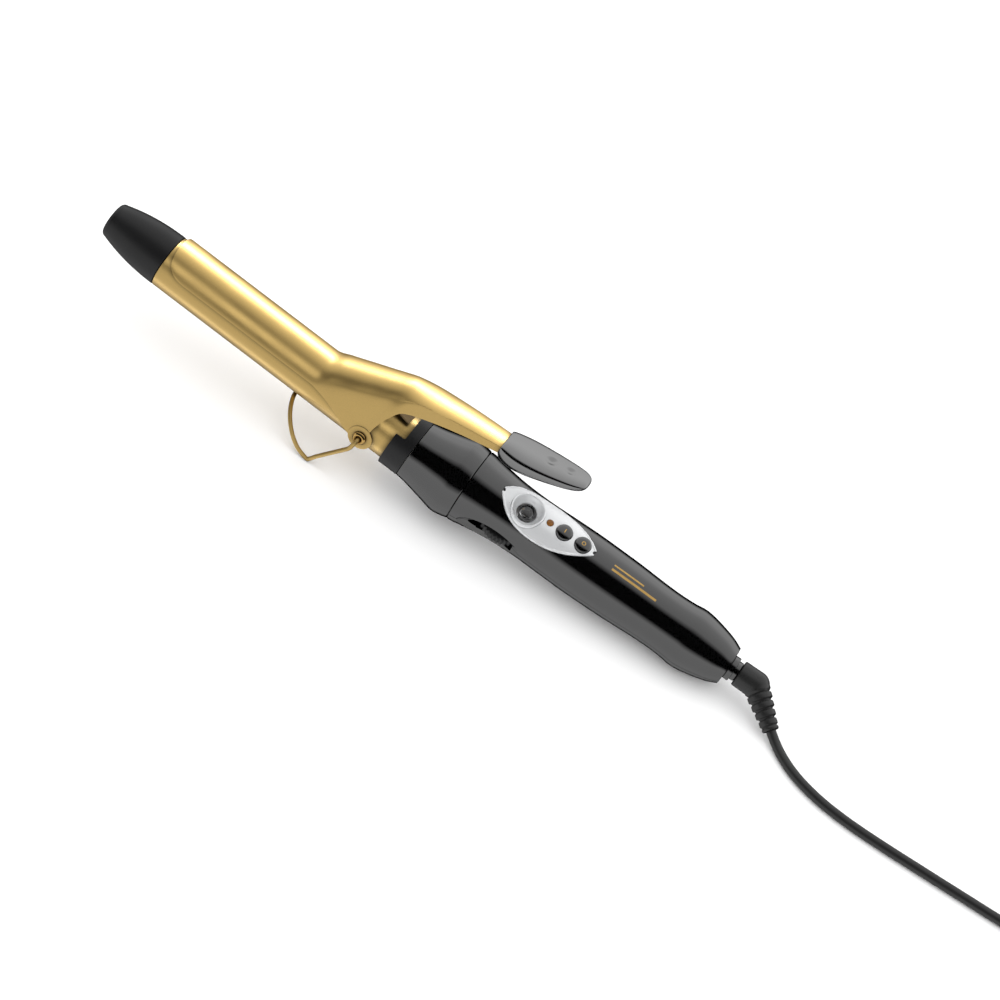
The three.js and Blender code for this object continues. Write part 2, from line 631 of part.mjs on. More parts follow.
function upperShell() {
  const half = block([-1, HANDLE_LENGTH + 1], [-40, 40], [GAP / 2, 40]);
  const seat = common(gripBand(PANEL_START - 3, PANEL_START + PANEL_LENGTH + 3, -PANEL_DEPTH - GAP, 5),
    raised(panelOutline(GAP), 1, 40));
  const shell = cut(common(gripShell(), half), seat, ...panelHoles(GAP), wheelWindow(), thumbScallop());
  const posts = SCREW_X.map((x) => {
    return rod(GAP / 2, gripRadius(x) - 1, POST_RADIUS, 14, 'z').translate(x, 0, 0);
  });
  const bores = SCREW_X.map((x) => rod(-1, 7, SCREW_RADIUS + GAP, 12, 'z').translate(x, 0, 0));
  return cut(joined(shell, ...posts), beforeSeam(), dialRoom(), ...bores);
}

function lowerShell() {
  const half = block([-1, HANDLE_LENGTH + 1], [-40, 40], [-40, -GAP / 2]);
  const shell = cut(common(gripShell(), half), wheelWindow(), thumbScallop());
  const posts = SCREW_X.map((x) => {
    return rod(-gripRadius(x) + 1, -GAP / 2, POST_RADIUS, 14, 'z').translate(x, 0, 0);
  });
  const bores = SCREW_X.map((x) => rod(-30, 1, SCREW_RADIUS + GAP, 12, 'z').translate(x, 0, 0));
  const heads = SCREW_X.map((x) => rod(-30, headSeat(x) + 1.4, SCREW_HEAD + GAP, 14, 'z').translate(x, 0, 0));
  return cut(joined(shell, ...posts), beforeSeam(), ...bores, ...heads);
}

function handleScrew(x) {
  const head = headSeat(x);
  return turned([
    [head, 0], [head, SCREW_HEAD], [head + 1.1, SCREW_HEAD], [head + 1.1, SCREW_RADIUS],
    [5.5, SCREW_RADIUS], [6.2, 0],
  ], 12, 'z').translate(x, 0, 0);
}

function frontHousing() {
  const outline = new THREE.SplineCurve([
    [HOUSING_FRONT, COLLAR_RADIUS - 0.1], [HOUSING_FRONT * 0.83, COLLAR_RADIUS + 0.7],
    [HOUSING_FRONT * 0.55, COLLAR_RADIUS + 2.6], [-9, COLLAR_RADIUS + HOUSING_SWELL - 0.2],
    [-6.5, COLLAR_RADIUS + HOUSING_SWELL], [-3, COLLAR_RADIUS + HOUSING_SWELL - 0.5], [-0.15, SEAM_RADIUS],
  ].map(([x, radius]) => new THREE.Vector2(x, radius))).getPoints(10).map((point) => [point.x, point.y]);
  const wallEnd = HOUSING_FRONT + END_WALL;
  const inner = [-0.15, -6, -17, wallEnd].map((x) => {
    const beyond = outline.find((point) => point[0] >= x);
    return [x, beyond[1] - HOUSING_WALL];
  });
  const neckHole = SEAT_NECK + 2 * GAP;
  const shell = turned([
    ...outline, ...inner, [wallEnd, neckHole], [HOUSING_FRONT, neckHole], outline[0],
  ], 32, 'x');
  // The housing joins the barrel's axis to the handle's, so it is bent between the two.
  return reshaped(shell, (x, y, z) => {
    const share = 1 + x / HOUSING_LENGTH;
    const lean = HANDLE_TILT * share;
    return [x - z * Math.sin(lean), y, HANDLE_RISE * share + z * Math.cos(lean)];
  });
}

// ------------------------------------------------------------------ controls and electronics

const LENS_Z = gripRadius(RING_X) - RING_DEPTH;
const LENS_SEAT = LENS_Z - 0.6;

function windowRing() {
  const rim = gripRadius(RING_X) + PANEL_PROUD;
  const cone = turned([
    [LENS_SEAT, LENS_RADIUS + GAP], [LENS_SEAT, LENS_RADIUS + 1.4], [rim + 2, RING_RADIUS],
    [rim + 2, RING_RADIUS - 0.8], [LENS_Z + 0.8, LENS_RADIUS + GAP], [LENS_SEAT, LENS_RADIUS + GAP],
  ], 28, 'z').translate(RING_X, RING_Y, 0);
  const skin = gripBand(PANEL_START - 3, PANEL_START + PANEL_LENGTH + 3, -14, PANEL_PROUD);
  return common(cone, skin);
}

function windowLens() {
  return turned([
    [LENS_SEAT, 0], [LENS_SEAT, LENS_RADIUS], [LENS_SEAT + 0.9, LENS_RADIUS],
    [LENS_SEAT + 1.3, LENS_RADIUS * 0.6], [LENS_SEAT + 1.45, 0],
  ], 24, 'z').translate(RING_X, RING_Y, 0);
}

function indicatorLens() {
  const low = BOARD_TOP + GAP;
  const top = gripRadius(LIGHT_X) + PANEL_PROUD;
  return turned([
    [low, 0], [low, LIGHT_RADIUS], [top, LIGHT_RADIUS], [top + 0.4, LIGHT_RADIUS * 0.6], [top + 0.5, 0],
  ], 12, 'z').translate(LIGHT_X, 0, 0);
}

const BOARD_TOP = GRIP_RADIUS - 6.1;
const BOARD_THICKNESS = 1.2;
const SWITCH_BODY = 1;
const SWITCH_TOP = 1.4;

function buttonBoard() {
  const start = WHEEL_PLACE + WHEEL_RADIUS + 1;
  const end = PANEL_START + PANEL_LENGTH + 2;
  return block([start, end], [-7.5, 7.5], [BOARD_TOP - BOARD_THICKNESS, BOARD_TOP]);
}

function tactSwitch(x) {
  const low = BOARD_TOP + GAP;
  const body = block([x - 3, x + 3], [-3, 3], [low, low + SWITCH_BODY]);
  const plunger = rod(low + 0.5, low + SWITCH_TOP, 1.7, 12, 'z').translate(x, 0, 0);
  return joined(body, plunger);
}

function pushButton(x) {
  const flange = BOARD_TOP + GAP + SWITCH_TOP + BUTTON_TRAVEL + 0.1;
  const flangeTop = flange + 0.5;
  const flangeRadius = BUTTON_RADIUS + 0.7;
  const face = gripRadius(x) + PANEL_PROUD + 0.2;
  return turned([
    [flange, 0], [flange, flangeRadius], [flangeTop, flangeRadius], [flangeTop, BUTTON_RADIUS],
    [face, BUTTON_RADIUS], [face + 0.6, BUTTON_RADIUS * 0.9], [face + 1.1, BUTTON_RADIUS * 0.6],
    [face + 1.3, BUTTON_RADIUS * 0.3], [face + 1.35, 0],
  ], 24, 'z').translate(x, 0, 0);
}

// The wheel's edge stands just out of the near side, or further where the far wall needs the room.
const WHEEL_Y = Math.min(
  WHEEL_RADIUS - gripRadius(WHEEL_PLACE) - WHEEL_PROUD,
  gripRadius(WHEEL_PLACE) - SHELL_WALL - 0.8 - WHEEL_RADIUS,
);
const POT_SHAFT = 1.5;
const DIAL_DROP = 2.4; // from the lens down to the dial
const DIAL_THICKNESS = 1.2;

function dialRoom() {
  const top = LENS_Z - DIAL_DROP + GAP;
  const low = top - DIAL_THICKNESS - 2 * GAP;
  return rod(low, top, DIAL_RADIUS + GAP, 28, 'z').translate(WHEEL_PLACE, WHEEL_Y, 0);
}

function temperatureWheel() {
  const half = WHEEL_THICKNESS / 2;
  const dialTop = LENS_Z - DIAL_DROP;
  const teeth = 24;
  const rim = new THREE.Shape();
  for (let i = 0; i < teeth * 2; i += 1) {
    const angle = (Math.PI * i) / teeth;
    const radius = i % 2 ? WHEEL_RADIUS - 0.7 : WHEEL_RADIUS;
    const at = [radius * Math.cos(angle), radius * Math.sin(angle)];
    if (i === 0) rim.moveTo(...at);
    else rim.lineTo(...at);
  }
  const dialLow = dialTop - DIAL_THICKNESS;
  const hub = turned([
    [-half - 0.5, 0], [-half - 0.5, 3.4], [dialLow, 3.4], [dialLow, DIAL_RADIUS],
    [dialTop, DIAL_RADIUS], [dialTop, 0],
  ], 28, 'z');
  const bore = rod(-half - 2, half - 0.5, POT_SHAFT + GAP, 12, 'z');
  return cut(joined(raised(rim, -half, half), hub), bore).translate(WHEEL_PLACE, WHEEL_Y, 0);
}

const MAIN_BOARD_Z = -(GRIP_RADIUS - 4.9);

function dialPotentiometer() {
  const low = MAIN_BOARD_Z + BOARD_THICKNESS + GAP;
  const top = -WHEEL_THICKNESS / 2 - 0.5 - GAP;
  const body = block([-5.5, 5.5], [-5, 5], [low, top - 0.3]);
  const shaft = rod(top - 1, WHEEL_THICKNESS / 2 - 1.2, POT_SHAFT, 12, 'z');
  return joined(body, shaft).translate(WHEEL_PLACE, WHEEL_Y, 0);
}

const MAIN_BOARD_START = 14;
const MAIN_BOARD_END = HANDLE_LENGTH - 45;

function circuitBoard() {
  const halfWidth = Math.sqrt((GRIP_RADIUS - SHELL_WALL - 0.75) ** 2 - MAIN_BOARD_Z ** 2);
  const top = MAIN_BOARD_Z + BOARD_THICKNESS;
  const triacStart = WHEEL_PLACE + 17.5;
  const plate = block([MAIN_BOARD_START, MAIN_BOARD_END], [-halfWidth, halfWidth], [MAIN_BOARD_Z, top]);
  const capacitorStart = triacStart + 16;
  const triac = block([triacStart, triacStart + 10], [-5, -1], [top - 0.2, top + 6]);
  const capacitor = block([capacitorStart, capacitorStart + 12], [-1, 6], [top - 0.2, top + 7]);
  const relay = rod(top - 0.2, top + 6, 3.2, 14, 'z').translate(MAIN_BOARD_END - 18.4, -2, 0);
  return joined(plate, triac, capacitor, relay);
}

// ------------------------------------------------------------------ leads

const LEAD_RADIUS = 0.9;

const ontoIron = new THREE.Matrix4()
  .makeTranslation(0, 0, HANDLE_RISE)
  .multiply(new THREE.Matrix4().makeRotationY(-HANDLE_TILT))
  .multiply(new THREE.Matrix4().makeRotationX(HANDLE_ROLL));

function handlePoint(x, y, z) {
  return new THREE.Vector3(x, y, z).applyMatrix4(ontoIron).toArray();
}

function heaterLead(side) {
  const start = HEATER_START + HEATER_LENGTH + GAP;
  return strand([
    [start, 3 * side, 0], [start + 8, 2.4 * side, 3],
    [PIVOT_X - 6, 1.4 * side, 6], [PIVOT_X + 6, 1.4 * side, 6],
    [BARREL_END - 8, 2 * side, 2], [HOUSING_FRONT + 4, 2.4 * side, 0],
    handlePoint(-10, 5 * side, -5), handlePoint(5, 5.6 * side, MAIN_BOARD_Z + 2.4),
    handlePoint(MAIN_BOARD_START - 1.5, 4 * side, MAIN_BOARD_Z + 0.6),
  ], LEAD_RADIUS, 6, 26);
}

function mainsLead(side) {
  return strand([
    [MAIN_BOARD_END + 1.2, 4.4 * side, MAIN_BOARD_Z + 0.6],
    [MAIN_BOARD_END + 6, 4.9 * side, MAIN_BOARD_Z + 3],
    [MAIN_BOARD_END + 14, 4.8 * side, MAIN_BOARD_Z + 6.4],
    [SOCKET_START - 5, 2 * side, -0.6],
    [SOCKET_START - 2.4, 1.6 * side, 0],
  ], LEAD_RADIUS, 6, 14);
}

// ------------------------------------------------------------------ swivel and boot, in the handle's frame

const SOCKET_START = HANDLE_LENGTH - 14.4;
const SOCKET_LENGTH = 4;

function swivelSocket() {
  const outer = gripRadius(SOCKET_START + SOCKET_LENGTH) - SHELL_WALL - GAP - 0.3;
  return ring(SOCKET_START, SOCKET_START + SOCKET_LENGTH, NECK_RADIUS - 0.6, outer, 28, 'x');
}

function swivelNeck() {
  const flange = SOCKET_START + SOCKET_LENGTH + GAP;
  const end = HANDLE_LENGTH;
  const throat = NECK_RADIUS - 0.6 - GAP;
  return turned([
    [SOCKET_START - 1.5, 0], [SOCKET_START - 1.5, throat], [flange, throat], [flange, NECK_RADIUS + 2.4],
    [flange + 2.2, NECK_RADIUS + 2.4], [flange + 2.2, NECK_RADIUS], [end + GAP, NECK_RADIUS],
    [end + GAP, NECK_RADIUS + 1.2], [end + 3, NECK_RADIUS + 1.2], [end + 3, NECK_RADIUS],
    [end + 5.1, NECK_RADIUS], [end + 5.1, 0],
  ], 20, 'x');
}

const ELBOW_X = HANDLE_LENGTH + 15.6;
const BOOT_AIM = new THREE.Vector3(17.4, -11.7, -6.3).normalize(); // in the level iron's frame

// The boot turns from the handle's axis to its own at the elbow.
function cordBoot() {
  const base = turned([
    [HANDLE_LENGTH + 5.4, 0], [HANDLE_LENGTH + 5.4, BOOT_RADIUS - 0.5], [HANDLE_LENGTH + 6.2, BOOT_RADIUS],
    [ELBOW_X - 1, BOOT_RADIUS], [ELBOW_X - 1, 0],
  ], 18, 'x').applyMatrix4(ontoIron);
  const elbow = new THREE.Vector3(...handlePoint(ELBOW_X - 1, 0, 0));
  const ball = new THREE.SphereGeometry(BOOT_RADIUS, 18, 10).translate(...elbow);
  const profile = [[0, 0], [0, BOOT_RADIUS - 0.2]];
  const ribs = 4;
  const ribPitch = (BOOT_LENGTH - 6) / ribs;
  for (let i = 0; i < ribs; i += 1) {
    const start = 5 + i * ribPitch;
    const radius = THREE.MathUtils.lerp(BOOT_RADIUS - 0.7, BOOT_END_RADIUS, i / (ribs - 1));
    profile.push([start, radius], [start + ribPitch * 0.62, radius]);
    profile.push([start + ribPitch * 0.7, radius - 0.9], [start + ribPitch * 0.92, radius - 0.9]);
  }
  profile.push([BOOT_LENGTH, BOOT_END_RADIUS - 0.2], [BOOT_LENGTH, 0]);
  const sleeve = turned(profile, 14, 'x');
  const turn = new THREE.Quaternion().setFromUnitVectors(new THREE.Vector3(1, 0, 0), BOOT_AIM);
  sleeve.applyQuaternion(turn);
  return joined(base, ball, sleeve.translate(...elbow));
}

function cordBootEnd() {
  const elbow = new THREE.Vector3(...handlePoint(ELBOW_X - 1, 0, 0));
  return elbow.addScaledVector(BOOT_AIM, BOOT_LENGTH);
}

// ------------------------------------------------------------------ the whole iron

function handlePieces() {
  const handle = new THREE.Group();
  handle.position.z = HANDLE_RISE;
  handle.rotation.set(0, -HANDLE_TILT, 0);
  const rolled = new THREE.Group();
  rolled.rotation.x = HANDLE_ROLL;
  handle.add(rolled);
  rolled.add(
    piece('handle_upper_shell', upperShell(), glossBlack),
    piece('handle_lower_shell', lowerShell(), glossBlack),
    piece('handle_screw_front', handleScrew(SCREW_X[0]), steel),
    piece('handle_screw_rear', handleScrew(SCREW_X[1]), steel),
    piece('control_panel', controlPanel(), silverPaint),
    piece('window_ring', windowRing(), silverPaint),
    piece('window_lens', windowLens(), clearPlastic),
    piece('indicator_lens', indicatorLens(), amber),
    piece('on_button', pushButton(BUTTON_X.on), glossBlack),
    piece('off_button', pushButton(BUTTON_X.off), glossBlack),
    piece('temperature_wheel', temperatureWheel(), glossBlack),
    piece('dial_potentiometer', dialPotentiometer(), steel),
    piece('circuit_board', circuitBoard(), board),
    piece('button_board', buttonBoard(), board),
    piece('on_switch', tactSwitch(BUTTON_X.on), matteBlack),
    piece('off_switch', tactSwitch(BUTTON_X.off), matteBlack),
    piece('mains_lead_near', mainsLead(-1), silicone),
    piece('mains_lead_far', mainsLead(1), silicone),
    piece('swivel_socket', swivelSocket(), matteBlack),
    piece('swivel_neck', swivelNeck(), glossBlack),
  );
  return handle;
}

function ironPieces() {
  const iron = new THREE.Group();
  iron.add(
    piece('cool_tip', coolTip(), matteBlack),
    piece('barrel_tube', barrelTube(), satinGold),
    piece('heater_element', heaterElement(), ceramic),
    piece('heat_spreader_upper', heatSpreader(1), aluminium),
    piece('heat_spreader_lower', heatSpreader(-1), aluminium),
    piece('thermal_fuse', rod(-4.5, 4.5, 1.6, 12, 'x').translate(PIVOT_X - 14, 0, -6), steel),
    piece('thermistor', rod(-2, 2, 1.2, 10, 'x').translate(PIVOT_X - 14, 7, -2), ceramic),
    piece('pivot_block', pivotBlock(), ceramic),
    piece('barrel_seat', barrelSeat(), ceramic),
    piece('collar', collar(), matteBlack),
    piece('front_housing', frontHousing(), glossBlack),
    piece('pivot_rivet_near', pivotRivet(-1), brass),
    piece('pivot_rivet_far', pivotRivet(1), brass),
    piece('clamp_plate', clampPlate(), satinGold),
    piece('clamp_spring', clampSpring(), steel),
    piece('spring_rivet', springRivet(), steel),
    piece('thumb_rest', thumbRest(), glossBlack),
    piece('stand_wire', standWire(), satinGold),
    piece('heater_lead_near', heaterLead(-1), silicone),
    piece('heater_lead_far', heaterLead(1), silicone),
    piece('cord_boot', cordBoot(), rubber),
    handlePieces(),
  );
  return iron;
}

// ------------------------------------------------------------------ cord, on the surface the iron rests on
// These pieces are in the finished part's own frame.

const HANK_RUN = 91;
const HANK_LOOP = 18.6; // radius of the outer turns' end loops, at the cord's middle
const HANK_LAYERS = 3;
const HANK_WAIST = 6.9; // the outer turns' distance from the middle, under the tie
const HANK_MIDDLE = [392.5, -15.1];
const TIE_WALL = 1;
const TIE_WIDTH = 8;

const CORD_START = 185.008; // where the boot ends along X, in the sizes above
const CORD_ROUTE = [
  [185.3, -11.9, 4.5], [190, -15.5, 2.9], [196, -20.4, 2.35], [203.6, -25.4, 2.35], [212, -29, 2.35],
  [220.5, -31.4, 2.35], [229, -32.8, 2.35], [238, -33.6, 2.35], [250, -34, 2.35], [272, -34, 2.35],
  [295, -33.8, 2.35], [314, -33.7, 2.5], [325, -33.7, 3.1], [333.5, -33.7, 3.6],
];
const TAIL_ROUTE = [
  [455.8, -29.1, 12.8], [461, -29.1, 11.7], [466, -29.1, 8.6], [471.2, -29.1, 7.5],
];
const PLUG = { start: 472, middle: -29.1, sleeve: 15, length: 25, halfWidth: 11, height: 15 };
const BLADE = { length: 17, height: 6.3, thickness: 1.5, apart: 12.7, seat: 6 };

function cordHank() {
  const half = HANK_RUN / 2;
  const steps = 6;
  const side = [];
  for (let i = -steps; i <= steps; i += 1) {
    const share = Math.abs(i) / steps;
    const flare = (HANK_LOOP - HANK_WAIST) * (1 - Math.cos(Math.PI * share)) / 2;
    side.push(new THREE.Vector2((half * i) / steps, -(HANK_WAIST + flare + CORD_RADIUS)));
  }
  const outline = new THREE.Shape(side);
  const loop = HANK_LOOP + CORD_RADIUS;
  outline.absarc(half, 0, loop, -Math.PI / 2, Math.PI / 2, false);
  for (const point of side.slice().reverse()) outline.lineTo(point.x, -point.y);
  outline.absarc(-half, 0, loop, Math.PI / 2, (Math.PI * 3) / 2, false);
  const low = TIE_WALL + GAP;
  return raised(outline, low, low + HANK_LAYERS * CORD_RADIUS * 2).translate(...HANK_MIDDLE, 0);
}

function hankTie() {
  const inner = HANK_WAIST + CORD_RADIUS + 0.2 + GAP;
  const top = TIE_WALL + HANK_LAYERS * CORD_RADIUS * 2 + 2 * GAP;
  const outer = inner + TIE_WALL;
  const half = TIE_WIDTH / 2;
  const outside = block([-half, half], [-outer, outer], [0, top + TIE_WALL]);
  const inside = block([-TIE_WIDTH, TIE_WIDTH], [-inner, inner], [TIE_WALL, top]);
  return cut(outside, inside).translate(...HANK_MIDDLE, 0);
}

function plugBody() {
  const face = PLUG.start + PLUG.sleeve + PLUG.length;
  const middle = PLUG.height / 2;
  const sleeve = turned([
    [PLUG.start, 0], [PLUG.start, CORD_RADIUS + 1], [PLUG.start + PLUG.sleeve + 4, CORD_RADIUS + 2.6],
    [PLUG.start + PLUG.sleeve + 4, 0],
  ], 16, 'x').translate(0, PLUG.middle, middle);
  const start = PLUG.start + PLUG.sleeve;
  const w = PLUG.halfWidth;
  const plan = new THREE.Shape();
  plan.moveTo(start, -5);
  plan.quadraticCurveTo(start + 2, -w, start + 13, -w);
  plan.lineTo(face, -w);
  plan.lineTo(face, w);
  plan.lineTo(start + 13, w);
  plan.quadraticCurveTo(start + 2, w, start, 5);
  const body = raised(plan, 0, PLUG.height).translate(0, PLUG.middle, 0);
  const slots = [-1, 1].map((side) => bladeBlock(side, GAP, BLADE.seat));
  return cut(joined(body, sleeve), ...slots);
}

function bladeBlock(side, margin, seat) {
  const face = PLUG.start + PLUG.sleeve + PLUG.length;
  const y = PLUG.middle + (side * BLADE.apart) / 2;
  const z = PLUG.height / 2;
  const thick = BLADE.thickness / 2 + margin;
  const high = BLADE.height / 2 + margin;
  const back = face - seat - margin;
  return block([back, face + BLADE.length], [y - thick, y + thick], [z - high, z + high]);
}

function cordPieces() {
  const cord = new THREE.Group();
  const bootEnd = cordBootEnd().applyMatrix4(leaned.matrixWorld);
  cord.position.x = bootEnd.x - CORD_START;
  cord.add(
    piece('power_cord', strand(CORD_ROUTE, CORD_RADIUS, 8, 16), rubber),
    piece('cord_hank', cordHank(), rubber),
    piece('hank_tie', hankTie(), matteBlack),
    piece('cord_tail', strand(TAIL_ROUTE, CORD_RADIUS, 8, 4), rubber),
    piece('plug_body', plugBody(), rubber),
    piece('plug_blade_near', bladeBlock(-1, 0, BLADE.seat), brass),
    piece('plug_blade_far', bladeBlock(1, 0, BLADE.seat), brass),
  );
  return cord;
}

// The lean at which the stand's corners and the handle's swell both touch a level surface.
function restingLean() {
  const swellX = HANDLE_LENGTH - 22.6;
  const [x, , z] = handlePoint(swellX, 0, 0);
  const ahead = x - (PIVOT_X - STAND_REACH);
  const above = z - (PIVOT_Z - STAND_DROP);
  const rise = gripRadius(swellX) - WIRE_RADIUS;
  return Math.atan2(above, ahead) - Math.asin(rise / Math.hypot(ahead, above));
}

const leaned = new THREE.Group();
leaned.add(ironPieces());
leaned.rotation.y = restingLean();
leaned.updateMatrixWorld(true);
const extent = new THREE.Box3().setFromObject(leaned, true);
const middle = extent.getCenter(new THREE.Vector3());
leaned.position.set(-middle.x, -middle.y, -extent.min.z);
leaned.updateMatrixWorld(true);

const curlingIron = new THREE.Group();
curlingIron.add(leaned, cordPieces());

export default curlingIron;
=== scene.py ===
"""The finished look of a curling iron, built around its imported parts."""

import json
import math

import bmesh
import bpy
from bpy.props import FloatProperty, FloatVectorProperty, IntProperty, PointerProperty
from mathutils import Matrix, Vector


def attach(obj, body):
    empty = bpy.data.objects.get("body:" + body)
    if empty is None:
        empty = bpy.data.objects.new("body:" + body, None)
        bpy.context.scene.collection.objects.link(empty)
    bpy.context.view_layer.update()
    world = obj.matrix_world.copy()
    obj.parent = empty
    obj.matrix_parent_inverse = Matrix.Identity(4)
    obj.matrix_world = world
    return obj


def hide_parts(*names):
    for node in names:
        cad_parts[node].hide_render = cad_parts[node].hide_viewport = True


bl_info = {
    "name": "Curling iron",
    "version": (1, 0, 0),
    "blender": (4, 5, 0),
    "location": "View3D > Sidebar > Curling iron",
    "description": "Builds a curling iron with its clamp, stand, controls and cord",
    "category": "Add Mesh",
}

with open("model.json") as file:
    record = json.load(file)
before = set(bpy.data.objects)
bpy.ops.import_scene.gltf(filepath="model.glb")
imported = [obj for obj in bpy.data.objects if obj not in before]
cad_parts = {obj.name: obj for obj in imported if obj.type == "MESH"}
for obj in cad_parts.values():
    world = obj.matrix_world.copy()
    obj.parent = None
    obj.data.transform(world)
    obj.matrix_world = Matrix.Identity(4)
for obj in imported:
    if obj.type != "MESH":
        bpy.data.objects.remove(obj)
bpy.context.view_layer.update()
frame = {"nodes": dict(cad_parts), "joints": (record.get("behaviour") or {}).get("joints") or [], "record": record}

# ---------------------------------------------------------------- places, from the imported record

MM = 0.001
JOINTS = {joint["name"]: joint for joint in frame["joints"]}
MOUNTS = {mount["name"]: mount for mount in frame["record"]["mounts"]}

TIP_END = -200.6  # millimetres along the iron, from the front of the handle
TIP_SEAM = -168.8
COLLAR_FRONT = -39.4
HOUSING_FRONT = -28.9
PIVOT = (-51.6, 0, -2.9)
RIVET_HOLE = 2.3
HANDLE_LENGTH = 141.4


def axes_at(origin, x_axis, z_axis):
    """The matrix that puts millimetres along two axes into the part's own frame."""
    y_axis = z_axis.cross(x_axis)
    turn = Matrix((x_axis, y_axis, z_axis)).transposed()
    return Matrix.Translation(origin) @ turn.to_4x4() @ Matrix.Scale(MM, 4)


def iron_axes():
    """The barrel's frame: its origin is on the barrel's axis at the handle's seam."""
    tip = MOUNTS["tip_end"]
    x_axis = -Vector(tip["axis"]).normalized()
    z_axis = x_axis.cross(Vector((0, 1, 0)))
    return axes_at(Vector(tip["pos_m"]) - x_axis * TIP_END * MM, x_axis, z_axis)


def handle_axes():
    """The handle's frame: X is its axis from the seam, and the controls face +Z."""
    swivel = JOINTS["cord_swivel"]
    x_axis = Vector(swivel["axis"]).normalized()
    z_axis = Vector(JOINTS["dial_turn"]["axis"]).normalized()
    origin = Vector(swivel["pos_m"]) - x_axis * HANDLE_LENGTH * MM
    return axes_at(origin, x_axis, z_axis)


IRON = iron_axes()
HANDLE = handle_axes()
FLOOR = Matrix.Scale(MM, 4)


# ---------------------------------------------------------------- sizes and colours


class IronSizes(bpy.types.PropertyGroup):
    """The sizes that a user would change"""

    barrel_radius: FloatProperty(
        name="Barrel radius", description="Outer radius of the heated barrel",
        default=0.0127, min=0.005, unit="LENGTH")
    wire_radius: FloatProperty(
        name="Stand wire radius", description="Radius of the wire stand",
        default=0.001, min=0.0004, unit="LENGTH")
    button_radius: FloatProperty(
        name="Button radius", description="Radius of the two push buttons",
        default=0.0038, min=0.001, unit="LENGTH")
    wheel_ridges: IntProperty(
        name="Wheel ridges", description="Number of grip ridges round the wheel",
        default=40, min=8)
    cord_diameter: FloatProperty(
        name="Cord diameter", description="Diameter of the mains cord",
        default=0.0046, min=0.002, unit="LENGTH")
    floor_size: FloatProperty(
        name="Floor size", description="Width of the floor that the iron lies on",
        default=14.0, min=1.0, unit="LENGTH")


def colour_property(name, default):
    """A colour that a user may change."""
    return FloatVectorProperty(
        name=name, description=f"{name} colour", subtype="COLOR", size=3,
        default=default, min=0.0, max=1.0)


class IronColours(bpy.types.PropertyGroup):
    """The colours of the finishes"""

    gold: colour_property("Satin gold", (0.57, 0.39, 0.132))
    brass: colour_property("Brass", (0.66, 0.42, 0.14))
    gloss: colour_property("Gloss plastic", (0.0012, 0.0012, 0.0013))
    matte: colour_property("Matte plastic", (0.006, 0.006, 0.0065))
    silver: colour_property("Silver paint", (0.74, 0.75, 0.76))
    amber: colour_property("Indicator", (0.22, 0.085, 0.012))
    rubber: colour_property("Cord rubber", (0.011, 0.011, 0.011))


# ---------------------------------------------------------------- finishes


# Rays and sharpness of the painted crevice shade.
CREVICE_SHADE_SAMPLES = 8
CREVICE_SHADE_POWER = 2.2


def painted_crevice_shade(nodes, link, colour, first, reach):
    """Painted shade: a colour that darkens where a neighbouring surface stands close, read from an ambient
    occlusion node.
    """
    occlusion = nodes.new("ShaderNodeAmbientOcclusion")
    occlusion.samples = CREVICE_SHADE_SAMPLES
    occlusion.inputs["Distance"].default_value = reach
    power = nodes.new("ShaderNodeMath")
    power.operation = "POWER"
    power.inputs[1].default_value = CREVICE_SHADE_POWER
    link(occlusion.outputs["AO"], power.inputs[0])
    mix = nodes.new("ShaderNodeMix")
    mix.data_type = "RGBA"
    link(power.outputs["Value"], mix.inputs["Factor"])
    mix.inputs["A"].default_value = (*shade(first, 0.12), 1)
    link(colour, mix.inputs["B"])
    return mix.outputs["Result"]


PATCH_SCALE = 70


